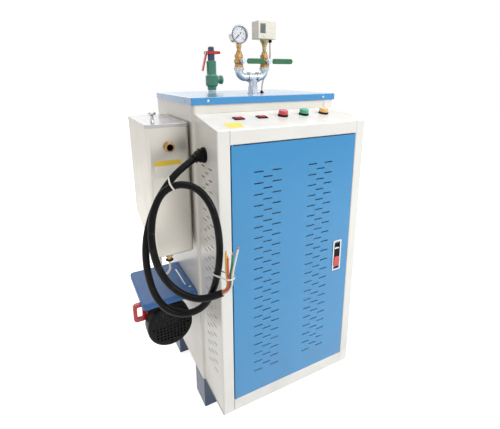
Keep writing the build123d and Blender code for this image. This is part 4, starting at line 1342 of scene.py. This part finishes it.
@dataclass
class Studio:
    """Floor, lamps, background and camera."""

    floor_size: float = 24.0
    floor_shade: float = 0.80
    floor_seen_shade: float = 0.92
    floor_lift: float = 0.75
    camera_place: Point = (-0.4938, -1.09795, 1.1507)
    camera_turn: Point = (75.164, 0.163, -27.962)
    camera_reach: float = 100.0
    lens: float = 25.889
    sensor: float = 36.0
    shift: float = -0.089
    lamps: tuple[Lamp, ...] = (
        Lamp("key", (1.9, -2.6, 2.7), 2.0, 78.0),
        Lamp("side", (-2.6, -1.4, 1.7), 2.0, 6.0, (1.0, 0.90, 0.80)),
        Lamp("back", (-0.4, 2.6, 2.6), 2.2, 22.0),
        Lamp("top", (0.2, -0.4, 3.4), 2.0, 30.0),
    )
    aim: Point = (0.0, 0.0, 0.65)
    daylight: float = 0.43
    daylight_colour: Colour = (1.0, 0.95, 0.885)

    def direct_rays(self, recipe: Recipe) -> Value:
        """1 for rays that end in the eye, a mirror or a pane.

        Args:
            recipe: the nodes to add to.

        Returns:
            The factor.
        """
        rays = [recipe.node("ShaderNodeLightPath", {}, {}, name)
                for name in ("Is Camera Ray", "Is Glossy Ray", "Is Transmission Ray")]
        return (rays[0] + rays[1] + rays[2]).between(0.0, 1.0)

    def floor(self) -> None:
        """The pale floor."""
        Bench.clear()
        bpy.ops.mesh.primitive_plane_add(size=1)
        floor = bpy.context.object
        floor.name = "floor"
        bpy.ops.object.mode_set(mode="EDIT")
        bpy.ops.mesh.select_all(action="SELECT")
        bpy.ops.transform.resize(value=(self.floor_size, self.floor_size, 1), center_override=(0, 0, 0))
        bpy.ops.mesh.subdivide(number_cuts=3)
        bpy.ops.object.mode_set(mode="OBJECT")
        material = bpy.data.materials.new("floor_pale")
        recipe = Recipe(material)
        shade, seen_shade = ((level, level, level, 1.0) for level in (self.floor_shade, self.floor_seen_shade))
        plain = recipe.node("ShaderNodeBsdfDiffuse", {}, {"Color": shade})
        pale = recipe.node("ShaderNodeBsdfDiffuse", {}, {"Color": seen_shade})
        lift = recipe.node("ShaderNodeEmission", {}, {"Color": (*WHITE, 1.0), "Strength": self.floor_lift})
        seen = recipe.node("ShaderNodeAddShader", {}, {0: pale, 1: lift})
        recipe.close(recipe.node("ShaderNodeMixShader", {}, {0: self.direct_rays(recipe), 1: plain, 2: seen}))
        floor.data.materials.append(material)

    def world(self) -> None:
        """A white background that lights the object less than it shows."""
        world = bpy.data.worlds.new("studio")
        bpy.context.scene.world = world
        recipe = Recipe(world)
        lit = recipe.node("ShaderNodeBackground", {}, {"Color": (*self.daylight_colour, 1.0),
                                                       "Strength": self.daylight})
        seen = recipe.node("ShaderNodeBackground", {}, {"Color": (*WHITE, 1.0)})
        recipe.close(recipe.node("ShaderNodeMixShader", {}, {0: self.direct_rays(recipe), 1: lit, 2: seen}))

    def camera(self) -> None:
        """The camera at the photograph's angle."""
        data = bpy.data.cameras.new("camera")
        data.lens = self.lens
        data.sensor_width = self.sensor
        data.shift_y = self.shift
        data.clip_end = self.camera_reach
        camera = bpy.data.objects.new("camera", data)
        camera.location = self.camera_place
        camera.rotation_euler = [radians(angle) for angle in self.camera_turn]
        bpy.context.scene.collection.objects.link(camera)
        bpy.context.scene.camera = camera

    def build(self) -> None:
        """Sets up the studio."""
        self.floor()
        self.world()
        for lamp in self.lamps:
            lamp.hang(self.aim)
        self.camera()
        bpy.context.scene.view_settings.view_transform = "Standard"


def main() -> None:
    """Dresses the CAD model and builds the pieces."""
    logging.basicConfig(level=logging.INFO, format="%(name)s: %(message)s")
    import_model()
    paintshop = Paintshop()
    paintshop.coat_nodes()
    for assembly in (CordSet(paintshop), Fasteners(paintshop), LockTrim(paintshop), Labels(paintshop),
                     GaugeFace(paintshop), PipeTrim(paintshop)):
        assembly.build()
    Studio().build()


if __name__ == "__main__":
    main()
